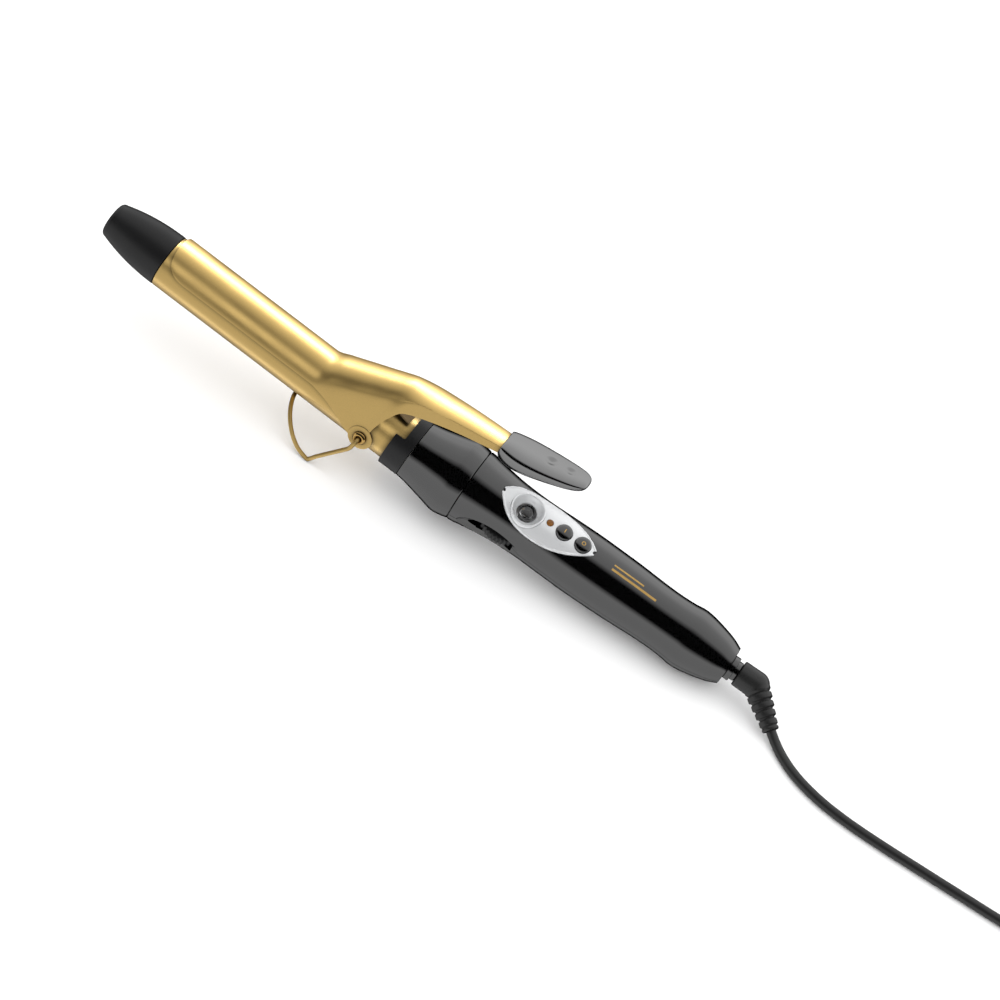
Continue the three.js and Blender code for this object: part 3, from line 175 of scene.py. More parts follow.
def finish(name, first, second, **look):
    """A procedural finish: two close colours in a fine grain, uneven gloss and a fine bump."""
    name += "_finish"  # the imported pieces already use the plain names
    if name in bpy.data.materials:
        return bpy.data.materials[name]
    material = bpy.data.materials.new(name)
    material.use_nodes = True
    nodes, link = material.node_tree.nodes, material.node_tree.links.new
    shader = nodes["Principled BSDF"]
    place = nodes.new("ShaderNodeTexCoord").outputs["Object"]

    grain = nodes.new("ShaderNodeTexNoise")
    grain.inputs["Scale"].default_value = look.get("grain", 900)
    grain.inputs["Detail"].default_value = 4
    stretch = nodes.new("ShaderNodeMapping")
    stretch.inputs["Scale"].default_value = look.get("stretch", (1, 1, 1))
    link(place, stretch.inputs["Vector"])
    link(stretch.outputs["Vector"], grain.inputs["Vector"])

    blend = nodes.new("ShaderNodeMix")
    blend.data_type = "RGBA"
    link(grain.outputs["Fac"], blend.inputs["Factor"])
    blend.inputs["A"].default_value = (*first, 1)
    blend.inputs["B"].default_value = (*second, 1)
    colour = blend.outputs["Result"]
    # Painted shade: the colour darkens in crevices, where another surface stands close.
    if "crevice" in look:
        colour = painted_crevice_shade(nodes, link, colour, first, look["crevice"])
    link(colour, shader.inputs["Base Color"])

    patches = nodes.new("ShaderNodeTexNoise")
    patches.inputs["Scale"].default_value = PATCH_SCALE
    patches.inputs["Detail"].default_value = 3
    link(place, patches.inputs["Vector"])
    gloss = nodes.new("ShaderNodeMapRange")
    rough, spread = look.get("rough", 0.4), look.get("spread", 0.05)
    gloss.inputs["From Min"].default_value = 0.3
    gloss.inputs["From Max"].default_value = 0.7
    gloss.inputs["To Min"].default_value = rough - spread
    gloss.inputs["To Max"].default_value = rough + spread
    link(patches.outputs["Fac"], gloss.inputs["Value"])
    link(gloss.outputs["Result"], shader.inputs["Roughness"])

    bump = nodes.new("ShaderNodeBump")
    bump.inputs["Strength"].default_value = look.get("bump", 0.1)
    bump.inputs["Distance"].default_value = look.get("depth", 0.00005)
    link(grain.outputs["Fac"], bump.inputs["Height"])
    link(bump.outputs["Normal"], shader.inputs["Normal"])

    for socket, value in look.get("sockets", {}).items():
        shader.inputs[socket].default_value = value
    return material


def shade(colour, factor):
    """A lighter or darker form of a colour."""
    return tuple(min(1.0, part * factor) for part in colour)


def finishes():
    """Every finish by its name."""
    colours = bpy.context.scene.iron_colours
    gold, brass, gloss = tuple(colours.gold), tuple(colours.brass), tuple(colours.gloss)
    matte, silver = tuple(colours.matte), tuple(colours.silver)
    amber, rubber = tuple(colours.amber), tuple(colours.rubber)
    return {
        # The satin gold carries painted crevice shade.
        "satin_gold": finish(
            "satin_gold", shade(gold, 0.86), shade(gold, 1.14), grain=2600, bump=0.3,
            depth=0.00003, rough=0.38, spread=0.03, crevice=0.003,
            sockets={"Metallic": 1.0, "Coat Weight": 0.35, "Coat Roughness": 0.35}),
        # Painted shade: a dark copy of the gold for the clamp's rim and bevel faces, which draws a shadow line
        # along the clamp's edge.
        "gold_edge_painted_shade": finish(
            "gold_edge_painted_shade", shade(gold, 0.3), shade(gold, 0.42), grain=2600, bump=0.3,
            depth=0.00003, rough=0.4, spread=0.03, sockets={"Metallic": 1.0}),
        "brass": finish(
            "brass", shade(brass, 0.75), shade(brass, 1.15), grain=700, bump=0.1,
            rough=0.24, spread=0.06, sockets={"Metallic": 1.0}),
        "gloss_black": finish(
            "gloss_black", gloss, shade(gloss, 1.5), grain=300, bump=0.02,
            depth=0.00002, rough=0.07, spread=0.015, sockets={"IOR": 2.05}),
        "rest_black": finish(
            "rest_black", gloss, shade(gloss, 1.5), grain=300, bump=0.02,
            depth=0.00002, rough=0.13, spread=0.02, sockets={"IOR": 3.0}),
        "matte_black": finish(
            "matte_black", shade(matte, 0.8), shade(matte, 1.3), grain=2200, bump=0.35,
            depth=0.00006, rough=0.4, spread=0.04, sockets={"IOR": 1.42}),
        "silver": finish(
            "silver", shade(silver, 0.92), shade(silver, 1.08), grain=5000, bump=0.06,
            depth=0.00002, rough=0.3, spread=0.03, sockets={"Metallic": 0.45, "IOR": 1.8}),
        "clear": finish(
            "clear", (0.96, 0.97, 0.98), (1, 1, 1), grain=200, bump=0.01, rough=0.03,
            spread=0.01, sockets={"Transmission Weight": 1.0, "IOR": 1.7}),
        "amber": finish(
            "amber", shade(amber, 0.7), shade(amber, 1.3), grain=900, bump=0.2, rough=0.16,
            spread=0.03, sockets={"Transmission Weight": 0.25, "IOR": 1.5}),
        "aluminium": finish(
            "aluminium", (0.5, 0.51, 0.52), (0.62, 0.63, 0.64), grain=900,
            stretch=(0.05, 1, 1), bump=0.2, rough=0.42, sockets={"Metallic": 1.0}),
        "ceramic": finish(
            "ceramic", (0.72, 0.68, 0.58), (0.84, 0.8, 0.71), grain=1500, bump=0.3,
            rough=0.68),
        "board": finish(
            "board", (0.012, 0.09, 0.03), (0.02, 0.14, 0.05), grain=400, bump=0.2,
            rough=0.38),
        # A dark brass tone: the brown is the spring's colour, and its darkness is painted shade for the spring
        # that lies in shade under the lever.
        "spring": finish(
            "spring", (0.11, 0.075, 0.04), (0.17, 0.12, 0.06), grain=1100,
            stretch=(0.08, 1, 1), bump=0.2, rough=0.32, sockets={"Metallic": 1.0}),
        "steel": finish(
            "steel", (0.38, 0.38, 0.4), (0.52, 0.52, 0.53), grain=1100,
            stretch=(0.08, 1, 1), bump=0.2, rough=0.3, sockets={"Metallic": 1.0}),
        "silicone": finish(
            "silicone", (0.3, 0.03, 0.02), (0.38, 0.05, 0.035), grain=800, bump=0.2,
            rough=0.55),
        "cord_rubber": finish(
            "cord_rubber", shade(rubber, 0.8), shade(rubber, 1.4), grain=1800, bump=0.3,
            depth=0.00004, rough=0.36, spread=0.04),
        "floor": finish(
            "floor", (0.9, 0.9, 0.9), (0.92, 0.92, 0.92), grain=6, bump=0.0, rough=0.9),
    }


# ---------------------------------------------------------------- lines and profiles


def through(points, steps):
    """A smooth line through points of any number of coordinates."""
    line = []
    last = len(points) - 1
    for i in range(last):
        before, a = points[max(i - 1, 0)], points[i]
        b, after = points[i + 1], points[min(i + 2, last)]
        for step in range(steps):
            t = step / steps
            line.append(tuple(
                0.5 * (2 * q + (r - p) * t + (2 * p - 5 * q + 4 * r - s) * t * t
                       + (3 * q - p - 3 * r + s) * t ** 3)
                for p, q, r, s in zip(before, a, b, after)))
    line.append(tuple(points[last]))
    return line


def rounded(points, radius, steps=4):
    """A line of 2D points with its inner corners rounded to a radius."""
    line = [points[0]]
    for before, corner, after in zip(points, points[1:], points[2:]):
        back = Vector(before) - Vector(corner)
        ahead = Vector(after) - Vector(corner)
        size = min(radius, back.length * 0.45, ahead.length * 0.45)
        start = Vector(corner) + back.normalized() * size
        end = Vector(corner) + ahead.normalized() * size
        for step in range(steps + 1):
            t = step / steps
            point = start * (1 - t) ** 2 + Vector(corner) * 2 * t * (1 - t) + end * t * t
            line.append(tuple(point))
    return line + [points[-1]]


def between(line, x):
    """The second value of a line of pairs at a place along it."""
    for low, high in zip(line, line[1:]):
        if x <= high[0]:
            share = (x - low[0]) / (high[0] - low[0])
            return low[1] + (high[1] - low[1]) * max(0.0, share)
    return line[-1][1]


def eased(t):
    """A share from 0 to 1 that starts and stops gently."""
    t = min(1.0, max(0.0, t))
    return t * t * (3 - 2 * t)


# ---------------------------------------------------------------- mesh helpers, in millimetres

FACES_UP = Matrix.Rotation(-math.pi / 2, 4, "Y")  # takes the X axis to Z
FACES_ACROSS = Matrix.Rotation(math.pi / 2, 4, "X")  # takes the Z axis to -Y


def cleaned(bm):
    """Merges doubles and points the faces outwards."""
    bmesh.ops.remove_doubles(bm, verts=bm.verts, dist=0.0005)
    bmesh.ops.dissolve_degenerate(bm, edges=bm.edges, dist=0.0005)
    bmesh.ops.recalc_face_normals(bm, faces=bm.faces)
    return bm


def spun(profile, steps=96, closed=False):
    """A profile of (along, radius) points turned about the X axis."""
    bm = bmesh.new()
    verts = [bm.verts.new((along, 0, radius)) for along, radius in profile]
    edges = [bm.edges.new(pair) for pair in zip(verts, verts[1:])]
    if closed:
        edges.append(bm.edges.new((verts[-1], verts[0])))
    bmesh.ops.spin(
        bm, geom=verts + edges, cent=(0, 0, 0), axis=(1, 0, 0), angle=math.tau,
        steps=steps, use_merge=True)
    return cleaned(bm)


def standing(bm, x=0.0, y=0.0):
    """Turns a spun shape to stand along Z at a place."""
    bm.transform(Matrix.Translation((x, y, 0)) @ FACES_UP)
    return bm


def dome(base, rise, radius, steps):
    """A quarter oval from its rim to its middle, as (height, radius) points."""
    angles = [step / steps * math.pi / 2 for step in range(1, steps + 1)]
    return [(base + rise * math.sin(angle), radius * math.cos(angle)) for angle in angles]


def pillar(radius, low, high, x=0.0, y=0.0, segments=64):
    """A plain cylinder along Z, used as a cutter."""
    bm = bmesh.new()
    place = Matrix.Translation((x, y, (low + high) / 2))
    bmesh.ops.create_cone(
        bm, cap_ends=True, segments=segments, radius1=radius, radius2=radius,
        depth=high - low, matrix=place)
    return bm


def slab(x, y, z):
    """A box between pairs of limits."""
    bm = bmesh.new()
    size = Matrix.Diagonal((x[1] - x[0], y[1] - y[0], z[1] - z[0], 1))
    middle = ((x[0] + x[1]) / 2, (y[0] + y[1]) / 2, (z[0] + z[1]) / 2)
    bmesh.ops.create_cube(bm, size=1, matrix=Matrix.Translation(middle) @ size)
    return bm


def cross_bore(radius, reach, place):
    """A cylinder across the iron, used as a cutter."""
    bm = pillar(radius, -reach, reach)
    bm.transform(Matrix.Translation(place) @ FACES_ACROSS)
    return bm


def prism(outline, low, high):
    """A flat outline in XY raised between two heights."""
    bm = bmesh.new()
    face = bm.faces.new([bm.verts.new((x, y, low)) for x, y in outline])
    raised = bmesh.ops.extrude_face_region(bm, geom=[face])
    bmesh.ops.translate(bm, verts=moved_verts(raised), vec=(0, 0, high - low))
    return cleaned(bm)


def softened(bm, width, segments=3, limit=0.6):
    """Bevels every edge that turns by more than a limit."""
    edges = [edge for edge in bm.edges if edge.is_manifold and edge.calc_face_angle(0) > limit]
    bmesh.ops.bevel(
        bm, geom=edges, offset=width, segments=segments, profile=0.5, affect="EDGES",
        material=-1, clamp_overlap=True)
    return cleaned(bm)


def draft(name, bm):
    """A working object, still in millimetres."""
    mesh = bpy.data.meshes.new(name)
    bm.to_mesh(mesh)
    bm.free()
    piece = bpy.data.objects.new(name, mesh)
    bpy.context.scene.collection.objects.link(piece)
    return piece


def final_mesh(piece):
    """The mesh of a piece or a curve with its modifiers applied."""
    graph = bpy.context.evaluated_depsgraph_get()
    return bpy.data.meshes.new_from_object(piece.evaluated_get(graph))


def applied(piece):
    """Applies every modifier to the piece's mesh."""
    mesh = final_mesh(piece)
    piece.modifiers.clear()
    piece.data = mesh
    return piece


def thickened(piece, thickness, offset=0):
    """Gives a sheet its thickness."""
    wall = piece.modifiers.new("wall", "SOLIDIFY")
    wall.thickness = thickness
    wall.offset = offset
    return piece


def moved_verts(result):
    """The vertices that an extrusion made."""
    return [item for item in result["geom"] if isinstance(item, bmesh.types.BMVert)]


def carved(piece, *cutters, operation="DIFFERENCE"):
    """Cuts, joins or crosses a piece with other shapes."""
    for bm in cutters:
        cutter = draft("cutter", bm)
        step = piece.modifiers.new("carve", "BOOLEAN")
        step.operation = operation
        step.solver = "EXACT"
        step.object = cutter
        applied(piece)
        bpy.data.objects.remove(cutter)
    return piece


def shaded(mesh, limit):
    """Smooth faces, with the edges that turn past a limit kept sharp."""
    bm = bmesh.new()
    bm.from_mesh(mesh)
    for face in bm.faces:
        face.smooth = True
    for edge in bm.edges:
        edge.smooth = edge.is_manifold and edge.calc_face_angle(0) < limit
    bm.to_mesh(mesh)
    bm.free()


def settled(piece, place, look, body, slot, *nodes, limit=0.6):
    """Puts a finished piece in the part's frame and hands it to its body."""
    piece.data.transform(place)
    piece.data.name = piece.name
    shaded(piece.data, limit)
    piece.data.materials.clear()
    piece.data.materials.append(finishes()[look])
    if look == "satin_gold":
        gold_pieces().objects.link(piece)
    piece.visible_glossy = body != "clamp"
    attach(piece, body)
    if nodes:
        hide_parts(*nodes)
    return piece


def wire(name, points, radius, steps):
    """A round wire through points, as a mesh."""
    line = through(points, steps)
    curve = bpy.data.curves.new(name, "CURVE")
    curve.dimensions = "3D"
    curve.bevel_depth = radius
    curve.bevel_resolution = 6
    curve.use_fill_caps = True
    spline = curve.splines.new("POLY")
    spline.points.add(len(line) - 1)
    for point, place in zip(spline.points, line):
        point.co = (*place, 1)
    source = bpy.data.objects.new(name + "_line", curve)
    bpy.context.scene.collection.objects.link(source)
    mesh = final_mesh(source)
    bpy.data.objects.remove(source)
    piece = bpy.data.objects.new(name, mesh)
    bpy.context.scene.collection.objects.link(piece)
    bm = bmesh.new()
    bm.from_mesh(mesh)
    cleaned(bm).to_mesh(mesh)
    bm.free()
    return piece


# ---------------------------------------------------------------- stage

VIEW_LENS = 105
VIEW_PLACE = (0.13702, -1.00044, 0.85625)
VIEW_RIGHT = Vector((0.84128, 0.39697, 0.36697))
VIEW_UP = Vector((-0.53413, 0.50565, 0.67751))
VIEW_BACK = Vector((0.08339, -0.76599, 0.63742))

# Angles about the iron from the viewer's side, in degrees, and how bright the room is there.
ROOM_BANDS = [
    (-180, 0.0), (-156, 0.0), (-142, 0.5), (-110, 0.75), (-44, 0.9), (-27, 0.0), (20, 0.0),
    (38, 0.75), (80, 0.95), (100, 1.25), (126, 1.1), (144, 0.0), (180, 0.0),
]
ROOM_STRENGTH = 1.0
FLOOR_STRENGTH = 1.5
# Long lights for the gold pieces: angle as above, distance, width in metres, and power.
GOLD_LIGHTS = [(92, 1.5, 0.42, 44), (-3, 2.4, 0.9, 13), (-112, 1.5, 0.34, 4.5)]
GOLD_LIGHT_LENGTH = 2.4


def view_camera():
    """The camera at the product view."""
    data = bpy.data.cameras.new("product_view")
    data.lens = VIEW_LENS
    data.sensor_width = 36
    camera = bpy.data.objects.new("product_view", data)
    turn = Matrix((VIEW_RIGHT, VIEW_UP, VIEW_BACK)).transposed().to_4x4()
    camera.matrix_world = Matrix.Translation(VIEW_PLACE) @ turn
    bpy.context.scene.collection.objects.link(camera)
    bpy.context.scene.camera = camera


def view_axes():
    """The iron's axis, and the viewer's and the upward direction square to it."""
    axis = (IRON.to_3x3() @ Vector((1, 0, 0))).normalized()
    front = (VIEW_BACK - axis * VIEW_BACK.dot(axis)).normalized()
    above = front.cross(axis)
    if above.z < 0:
        above.negate()
    return axis, front, above


def gold_pieces():
    """The collection of the pieces that the long lights reach."""
    if "gold_pieces" not in bpy.data.collections:
        bpy.data.collections.new("gold_pieces")
    return bpy.data.collections["gold_pieces"]


def gold_lights():
    """Two long lights that give the gold its soft streaks."""
    axis, front, above = view_axes()
    middle = IRON @ Vector((-80, 0, 0))
    for angle, distance, width, power in GOLD_LIGHTS:
        turn = math.radians(angle)
        away = front * math.cos(turn) + above * math.sin(turn)
        data = bpy.data.lights.new(f"gold_light_{angle}", "AREA")
        data.shape = "RECTANGLE"
        data.size, data.size_y = GOLD_LIGHT_LENGTH, width
        data.energy = power
        data.use_shadow = angle > -90  # the lowest one shines through the floor
        light = bpy.data.objects.new(data.name, data)
        facing = Matrix((axis, away.cross(axis), away)).transposed().to_4x4()
        light.matrix_world = Matrix.Translation(middle + away * distance) @ facing
        bpy.context.scene.collection.objects.link(light)
        light.light_linking.receiver_collection = gold_pieces()


def turned_share(nodes, link, direction):
    """How far round the iron a direction lies, from 0 to 1."""
    _, front, above = view_axes()
    parts = []
    for side in (above, front):
        dot = nodes.new("ShaderNodeVectorMath")
        dot.operation = "DOT_PRODUCT"
        dot.inputs[1].default_value = side
        link(direction, dot.inputs[0])
        parts.append(dot.outputs["Value"])
    angle = nodes.new("ShaderNodeMath")
    angle.operation = "ARCTAN2"
    link(parts[0], angle.inputs[0])
    link(parts[1], angle.inputs[1])
    share = nodes.new("ShaderNodeMapRange")
    share.inputs["From Min"].default_value = -math.pi
    share.inputs["From Max"].default_value = math.pi
    link(angle.outputs["Value"], share.inputs["Value"])
    return share.outputs["Result"]


def studio_room():
    """A white room whose reflections are two long soft boxes beside the viewer."""
    world = bpy.data.worlds.new("studio")
    bpy.context.scene.world = world
    world.use_nodes = True
    world.cycles.sampling_method = "NONE"
    nodes, link = world.node_tree.nodes, world.node_tree.links.new
    nodes.clear()
    direction = nodes.new("ShaderNodeTexCoord").outputs["Generated"]
    share = turned_share(nodes, link, direction)
    bands = nodes.new("ShaderNodeValToRGB")
    stops = bands.color_ramp.elements
    for stop, (_, level) in zip(stops, (ROOM_BANDS[0], ROOM_BANDS[-1])):
        stop.color = (level, level, level, 1)
    for angle, level in ROOM_BANDS[1:-1]:
        stops.new((angle + 180) / 360).color = (level, level, level, 1)
    link(share, bands.inputs["Fac"])
    boxes = nodes.new("ShaderNodeBackground")
    boxes.inputs["Strength"].default_value = ROOM_STRENGTH
    link(bands.outputs["Color"], boxes.inputs["Color"])
    white = nodes.new("ShaderNodeBackground")
    white.inputs["Color"].default_value = (1, 1, 1, 1)
    white.inputs["Strength"].default_value = FLOOR_STRENGTH
    path = nodes.new("ShaderNodeLightPath")
    plain = nodes.new("ShaderNodeMath")
    plain.operation = "MAXIMUM"
    link(path.outputs["Is Camera Ray"], plain.inputs[0])
    link(path.outputs["Is Diffuse Ray"], plain.inputs[1])
    mix = nodes.new("ShaderNodeMixShader")
    link(plain.outputs["Value"], mix.inputs["Fac"])
    link(boxes.outputs["Background"], mix.inputs[1])
    link(white.outputs["Background"], mix.inputs[2])
    link(mix.outputs["Shader"], nodes.new("ShaderNodeOutputWorld").inputs["Surface"])


def floor_plane():
    """The pale floor that the iron lies on."""
    bm = bmesh.new()
    half = bpy.context.scene.iron_sizes.floor_size / 2
    bmesh.ops.create_grid(bm, x_segments=1, y_segments=1, size=half)
    floor = draft("floor", bm)
    floor.data.materials.append(finishes()["floor"])
    floor.visible_glossy = False


class IRON_OT_stage(bpy.types.Operator):
    """Adds the floor, the room's light and the camera"""

    bl_idname = "iron.stage"
    bl_label = "Stage"

    def execute(self, context):
        context.scene.view_settings.view_transform = "Standard"
        view_camera()
        studio_room()
        gold_lights()
        floor_plane()
        return {"FINISHED"}


# ---------------------------------------------------------------- cord, hank and plug

CORD_ROUTE = [
    (185.3, -11.9, 4.5), (190, -15.5, 2.9), (196, -20.4, 2.35), (203.6, -25.4, 2.35),
    (212, -29, 2.35), (220.5, -31.4, 2.35), (229, -32.8, 2.35), (238, -33.6, 2.35),
    (250, -34, 2.35), (272, -34, 2.35), (295, -33.8, 2.35), (314, -33.7, 2.5),
    (325, -33.7, 3.1), (333.5, -33.7, 3.6),
]
TAIL_ROUTE = [(455.8, -29.1, 12.8), (461, -29.1, 11.7), (466, -29.1, 8.6), (471.2, -29.1, 7.5)]
HANK_ENDS = (347.0, 438.0)
HANK_MIDDLE = -15.1
HANK_SLOTS = [  # radius of the end loop, waist and height of each near run
    (18.6, 6.9, 3.6), (14, 2.3, 3.6), (14, 2.3, 8.2), (18.6, 6.9, 8.2), (18.6, 6.9, 12.8),
    (14, 2.3, 12.8),
]
TIE_WIDTH = 8
TIE_WALL = 0.8


def hank_run(side, slot):
    """One long run of the hank, pinched in at its middle."""
    radius, waist, height = slot
    left, right = HANK_ENDS
    steps = 8
    run = []
    for step in range(steps + 1):
        share = step / steps
        spread = (1 + math.cos(math.tau * share)) / 2
        y = HANK_MIDDLE + side * (waist + (radius - waist) * spread)
        run.append((left + (right - left) * share, y, height))
    return run if side < 0 else run[::-1]


def hank_loop(x, start, slot, following, first=False):
    """Half a turn round one end of the hank, from one slot to the next."""
    steps = 8
    loop = []
    for step in range(1, steps):
        share = step / steps
        quarter = share * math.pi / 2
        moved = 1 - math.cos(quarter) if first else math.sin(quarter)
        radius = slot[0] + (following[0] - slot[0]) * moved
        height = slot[2] + (following[2] - slot[2]) * moved
        angle = start + math.pi * share
        across = HANK_MIDDLE + radius * math.sin(angle)
        loop.append((x + radius * math.cos(angle), across, height))
    return loop


def cord_line():
    """Every point of the cord from the boot to the plug."""
    left, right = HANK_ENDS
    line = list(CORD_ROUTE)
    for i, slot in enumerate(HANK_SLOTS):
        line += hank_run(-1, slot)
        if i + 1 < len(HANK_SLOTS):
            line += hank_loop(right, -math.pi / 2, slot, slot)
            line += hank_run(1, slot)
            line += hank_loop(left, math.pi / 2, slot, HANK_SLOTS[i + 1], first=i == 0)
    return line + TAIL_ROUTE


def mains_cord():
    """The cord as one curve."""
    curve = bpy.data.curves.new("mains_cord", "CURVE")
    curve.dimensions = "3D"
    curve.bevel_depth = bpy.context.scene.iron_sizes.cord_diameter / 2
    curve.bevel_resolution = 5
    curve.use_fill_caps = True
    spline = curve.splines.new("BEZIER")
    line = cord_line()
    spline.bezier_points.add(len(line) - 1)
    for point, place in zip(spline.bezier_points, line):
        point.co = Vector(place) * MM
        point.handle_left_type = point.handle_right_type = "AUTO"
    spline.resolution_u = 6
    cord = bpy.data.objects.new("mains_cord", curve)
    bpy.context.scene.collection.objects.link(cord)
    curve.materials.append(finishes()["cord_rubber"])
    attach(cord, "cord")
    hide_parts("power_cord", "cord_hank", "cord_tail")
    return cord


def hank_tie():
    """A soft strap round the hank's waist."""
    half_width, half_height, low = 9.9, 7.55, 0.05
    section = rounded([
        (0, 0), (half_width, 0), (half_width, 2 * half_height), (-half_width, 2 * half_height),
        (-half_width, 0), (0, 0)], 3.2, 6)
    bm = bmesh.new()
    middle = sum(HANK_ENDS) / 2
    start = middle - TIE_WIDTH / 2
    verts = [bm.verts.new((start, HANK_MIDDLE + y, z)) for y, z in section[:-1]]
    edges = [bm.edges.new(pair) for pair in zip(verts, verts[1:] + verts[:1])]
    across = bmesh.ops.extrude_edge_only(bm, edges=edges)
    bmesh.ops.translate(bm, verts=moved_verts(across), vec=(TIE_WIDTH, 0, 0))
    bmesh.ops.translate(bm, verts=bm.verts, vec=(0, 0, low + TIE_WALL))
    tie = thickened(draft("cord_tie", cleaned(bm)), TIE_WALL, 1)
    soft = tie.modifiers.new("soft", "BEVEL")
    soft.width = 0.25
    soft.segments = 2
    return settled(applied(tie), FLOOR, "matte_black", "cord", "matte_black", "hank_tie")


PLUG_START = 472.0
PLUG_MIDDLE = -29.1
PLUG_HEIGHT = 15.0
PLUG_FACE = 512.0
PIN_OFFSET = 6.35


def plug_sleeve():
    """The plug's ribbed strain relief."""
    profile = [(PLUG_START, 0), (PLUG_START, 3.1)]
    ribs = 5
    for rib in range(ribs):
        start = PLUG_START + 1.2 + rib * 2.7
        radius = 3.4 + 1.5 * rib / ribs
        profile += [(start, radius), (start + 1.5, radius), (start + 1.6, radius - 0.6),
                    (start + 2.6, radius - 0.6)]
    profile += [(PLUG_START + 16, 5.2), (PLUG_START + 21, 5.4), (PLUG_START + 21, 0)]
    bm = spun(rounded(profile, 0.25, 2), 48)
    bm.transform(Matrix.Translation((0, PLUG_MIDDLE, PLUG_HEIGHT / 2)))
    return bm


def mains_plug():
    """The plug's moulded body with its grip dips."""
    start, wide = PLUG_START + 15, 11
    side = through([(start, -4.8), (start + 1.6, -8.4), (start + 5, -9.9), (start + 9, -9.2),
                    (start + 14, -9.0), (start + 19, -10.3), (PLUG_FACE - 2, -wide)], 5)
    outline = side + [(PLUG_FACE, -wide), (PLUG_FACE, wide)]
    outline += [(x, -y) for x, y in reversed(side)]
    body = prism(outline, 0.05, PLUG_HEIGHT - 0.05)
    bmesh.ops.translate(body, verts=body.verts, vec=(0, PLUG_MIDDLE, 0))
    plug = draft("mains_plug", softened(body, 2.2, 5, 0.9))
    carved(plug, plug_sleeve(), operation="UNION")
    for side_sign in (-1, 1):
        carved(plug, pin_block(side_sign, 0.15, 6))
    return settled(plug, FLOOR, "cord_rubber", "cord", "cord_rubber", "plug_body")


def pin_block(side, margin, seat):
    """The plain block of one plug pin."""
    y = PLUG_MIDDLE + side * PIN_OFFSET
    z = PLUG_HEIGHT / 2
    thick, high = 0.75 + margin, 3.15 + margin
    along = (PLUG_FACE - seat - margin, PLUG_FACE + 17)
    return slab(along, (y - thick, y + thick), (z - high, z + high))


def plug_pin(side, name, node):
    """A pin with softened edges and its hole."""
    pin = draft(name, softened(pin_block(side, 0, 6), 0.3, 3, 1.0))
    y = PLUG_MIDDLE + side * PIN_OFFSET
    carved(pin, cross_bore(1.6, 3, (PLUG_FACE + 12, y, PLUG_HEIGHT / 2)))
    return settled(pin, FLOOR, "brass", "cord", "brass", node)


class IRON_OT_cord(bpy.types.Operator):
    """Adds the cord, its tied hank and its plug"""

    bl_idname = "iron.cord"
    bl_label = "Cord and plug"

    def execute(self, context):
        cord = mains_cord()
        tie = hank_tie()
        plug = mains_plug()
        pins = [plug_pin(-1, "plug_pin_near", "plug_blade_near"),
                plug_pin(1, "plug_pin_far", "plug_blade_far")]
        return {"FINISHED"}


# ---------------------------------------------------------------- barrel, tip and collar

TIP_LENGTH = 31.8
TIP_FLAT = 6.4  # radius of the flat end
COLLAR_RADIUS = 14.6


def tip_radius(share):
    """The cool tip's radius at a share of its length from its far end."""
    return 12.8 - 4.8 * (1 - share) ** 2.2


def cool_tip():
    """The tapered tip with a softened flat end."""
    profile = [(TIP_END, 0), (TIP_END, TIP_FLAT)]
    for step in range(1, 9):
        angle = step / 8 * math.pi / 2
        radius = TIP_FLAT + (tip_radius(0.07) - TIP_FLAT) * math.sin(angle)
        profile.append((TIP_END + 2.2 * (1 - math.cos(angle)), radius))
    for step in range(1, 31):
        share = 0.07 + 0.93 * step / 30
        profile.append((TIP_END + TIP_LENGTH * share, tip_radius(share)))
    edge = [(TIP_SEAM - 0.25, 12.8), (TIP_SEAM, 12.5), (TIP_SEAM, 11.6), (TIP_SEAM + 9, 11.6),
            (TIP_SEAM + 9, 0)]
    tip = draft("tip_cap", spun(profile[:-1] + edge, 128))
    return settled(tip, IRON, "matte_black", "handle", "matte_black", "cool_tip")


def gold_barrel():
    """The heated tube, with a softened front lip and its rivet holes."""
    radius = bpy.context.scene.iron_sizes.barrel_radius / MM
    start, end = TIP_SEAM + 0.3, HOUSING_FRONT - 1.6
    profile = [(start, radius - 0.8), (start, radius), (end, radius), (end, radius - 0.8)]
    profile = rounded(profile, 0.3, 4)
    stretch = [(start + (end - start) * step / 24, radius) for step in range(1, 24)]
    middle = next(i for i, point in enumerate(profile) if point[0] > end - 5)
    profile[middle:middle] = stretch
    tube = draft("gold_barrel", spun(profile, 128, closed=True))
    carved(tube, cross_bore(RIVET_HOLE, 16, PIVOT))
    return settled(tube, IRON, "satin_gold", "handle", "satin_gold", "barrel_tube")


def step_collar():
    """The matte collar, cut back along its top."""
    inner = 13.0
    profile = rounded([
        (COLLAR_FRONT, inner), (COLLAR_FRONT, COLLAR_RADIUS),
        (HOUSING_FRONT - 0.3, COLLAR_RADIUS), (HOUSING_FRONT - 0.3, inner)], 0.35, 3)
    collar = draft("step_collar", spun(profile, 128, closed=True))
    step = softened(slab((COLLAR_FRONT - 4, COLLAR_FRONT + 4.8), (-11, 11), (2, 20)), 0.8, 3)
    carved(collar, step)
    return settled(collar, IRON, "matte_black", "handle", "matte_black", "collar")


class IRON_OT_barrel(bpy.types.Operator):
    """Adds the heated barrel, its cool tip and the collar behind it"""

    bl_idname = "iron.barrel"
    bl_label = "Barrel"

    def execute(self, context):
        cool_tip()
        gold_barrel()
        step_collar()
        return {"FINISHED"}


# ---------------------------------------------------------------- clamp

TROUGH = 14.0  # outer radius of the clamp's trough
SPAN = math.radians(72)
SHOULDER = SPAN * 0.7
LEVER_END = 8.6
CLAMP_FRONT = TIP_SEAM + 1.8
TONGUE = 12.0
CLAMP_SHEET = 0.9
CLAMP_SOFTNESS = 0.4
EAR_RADIUS = 6
EAR_FACES = (13.08, 14.02)

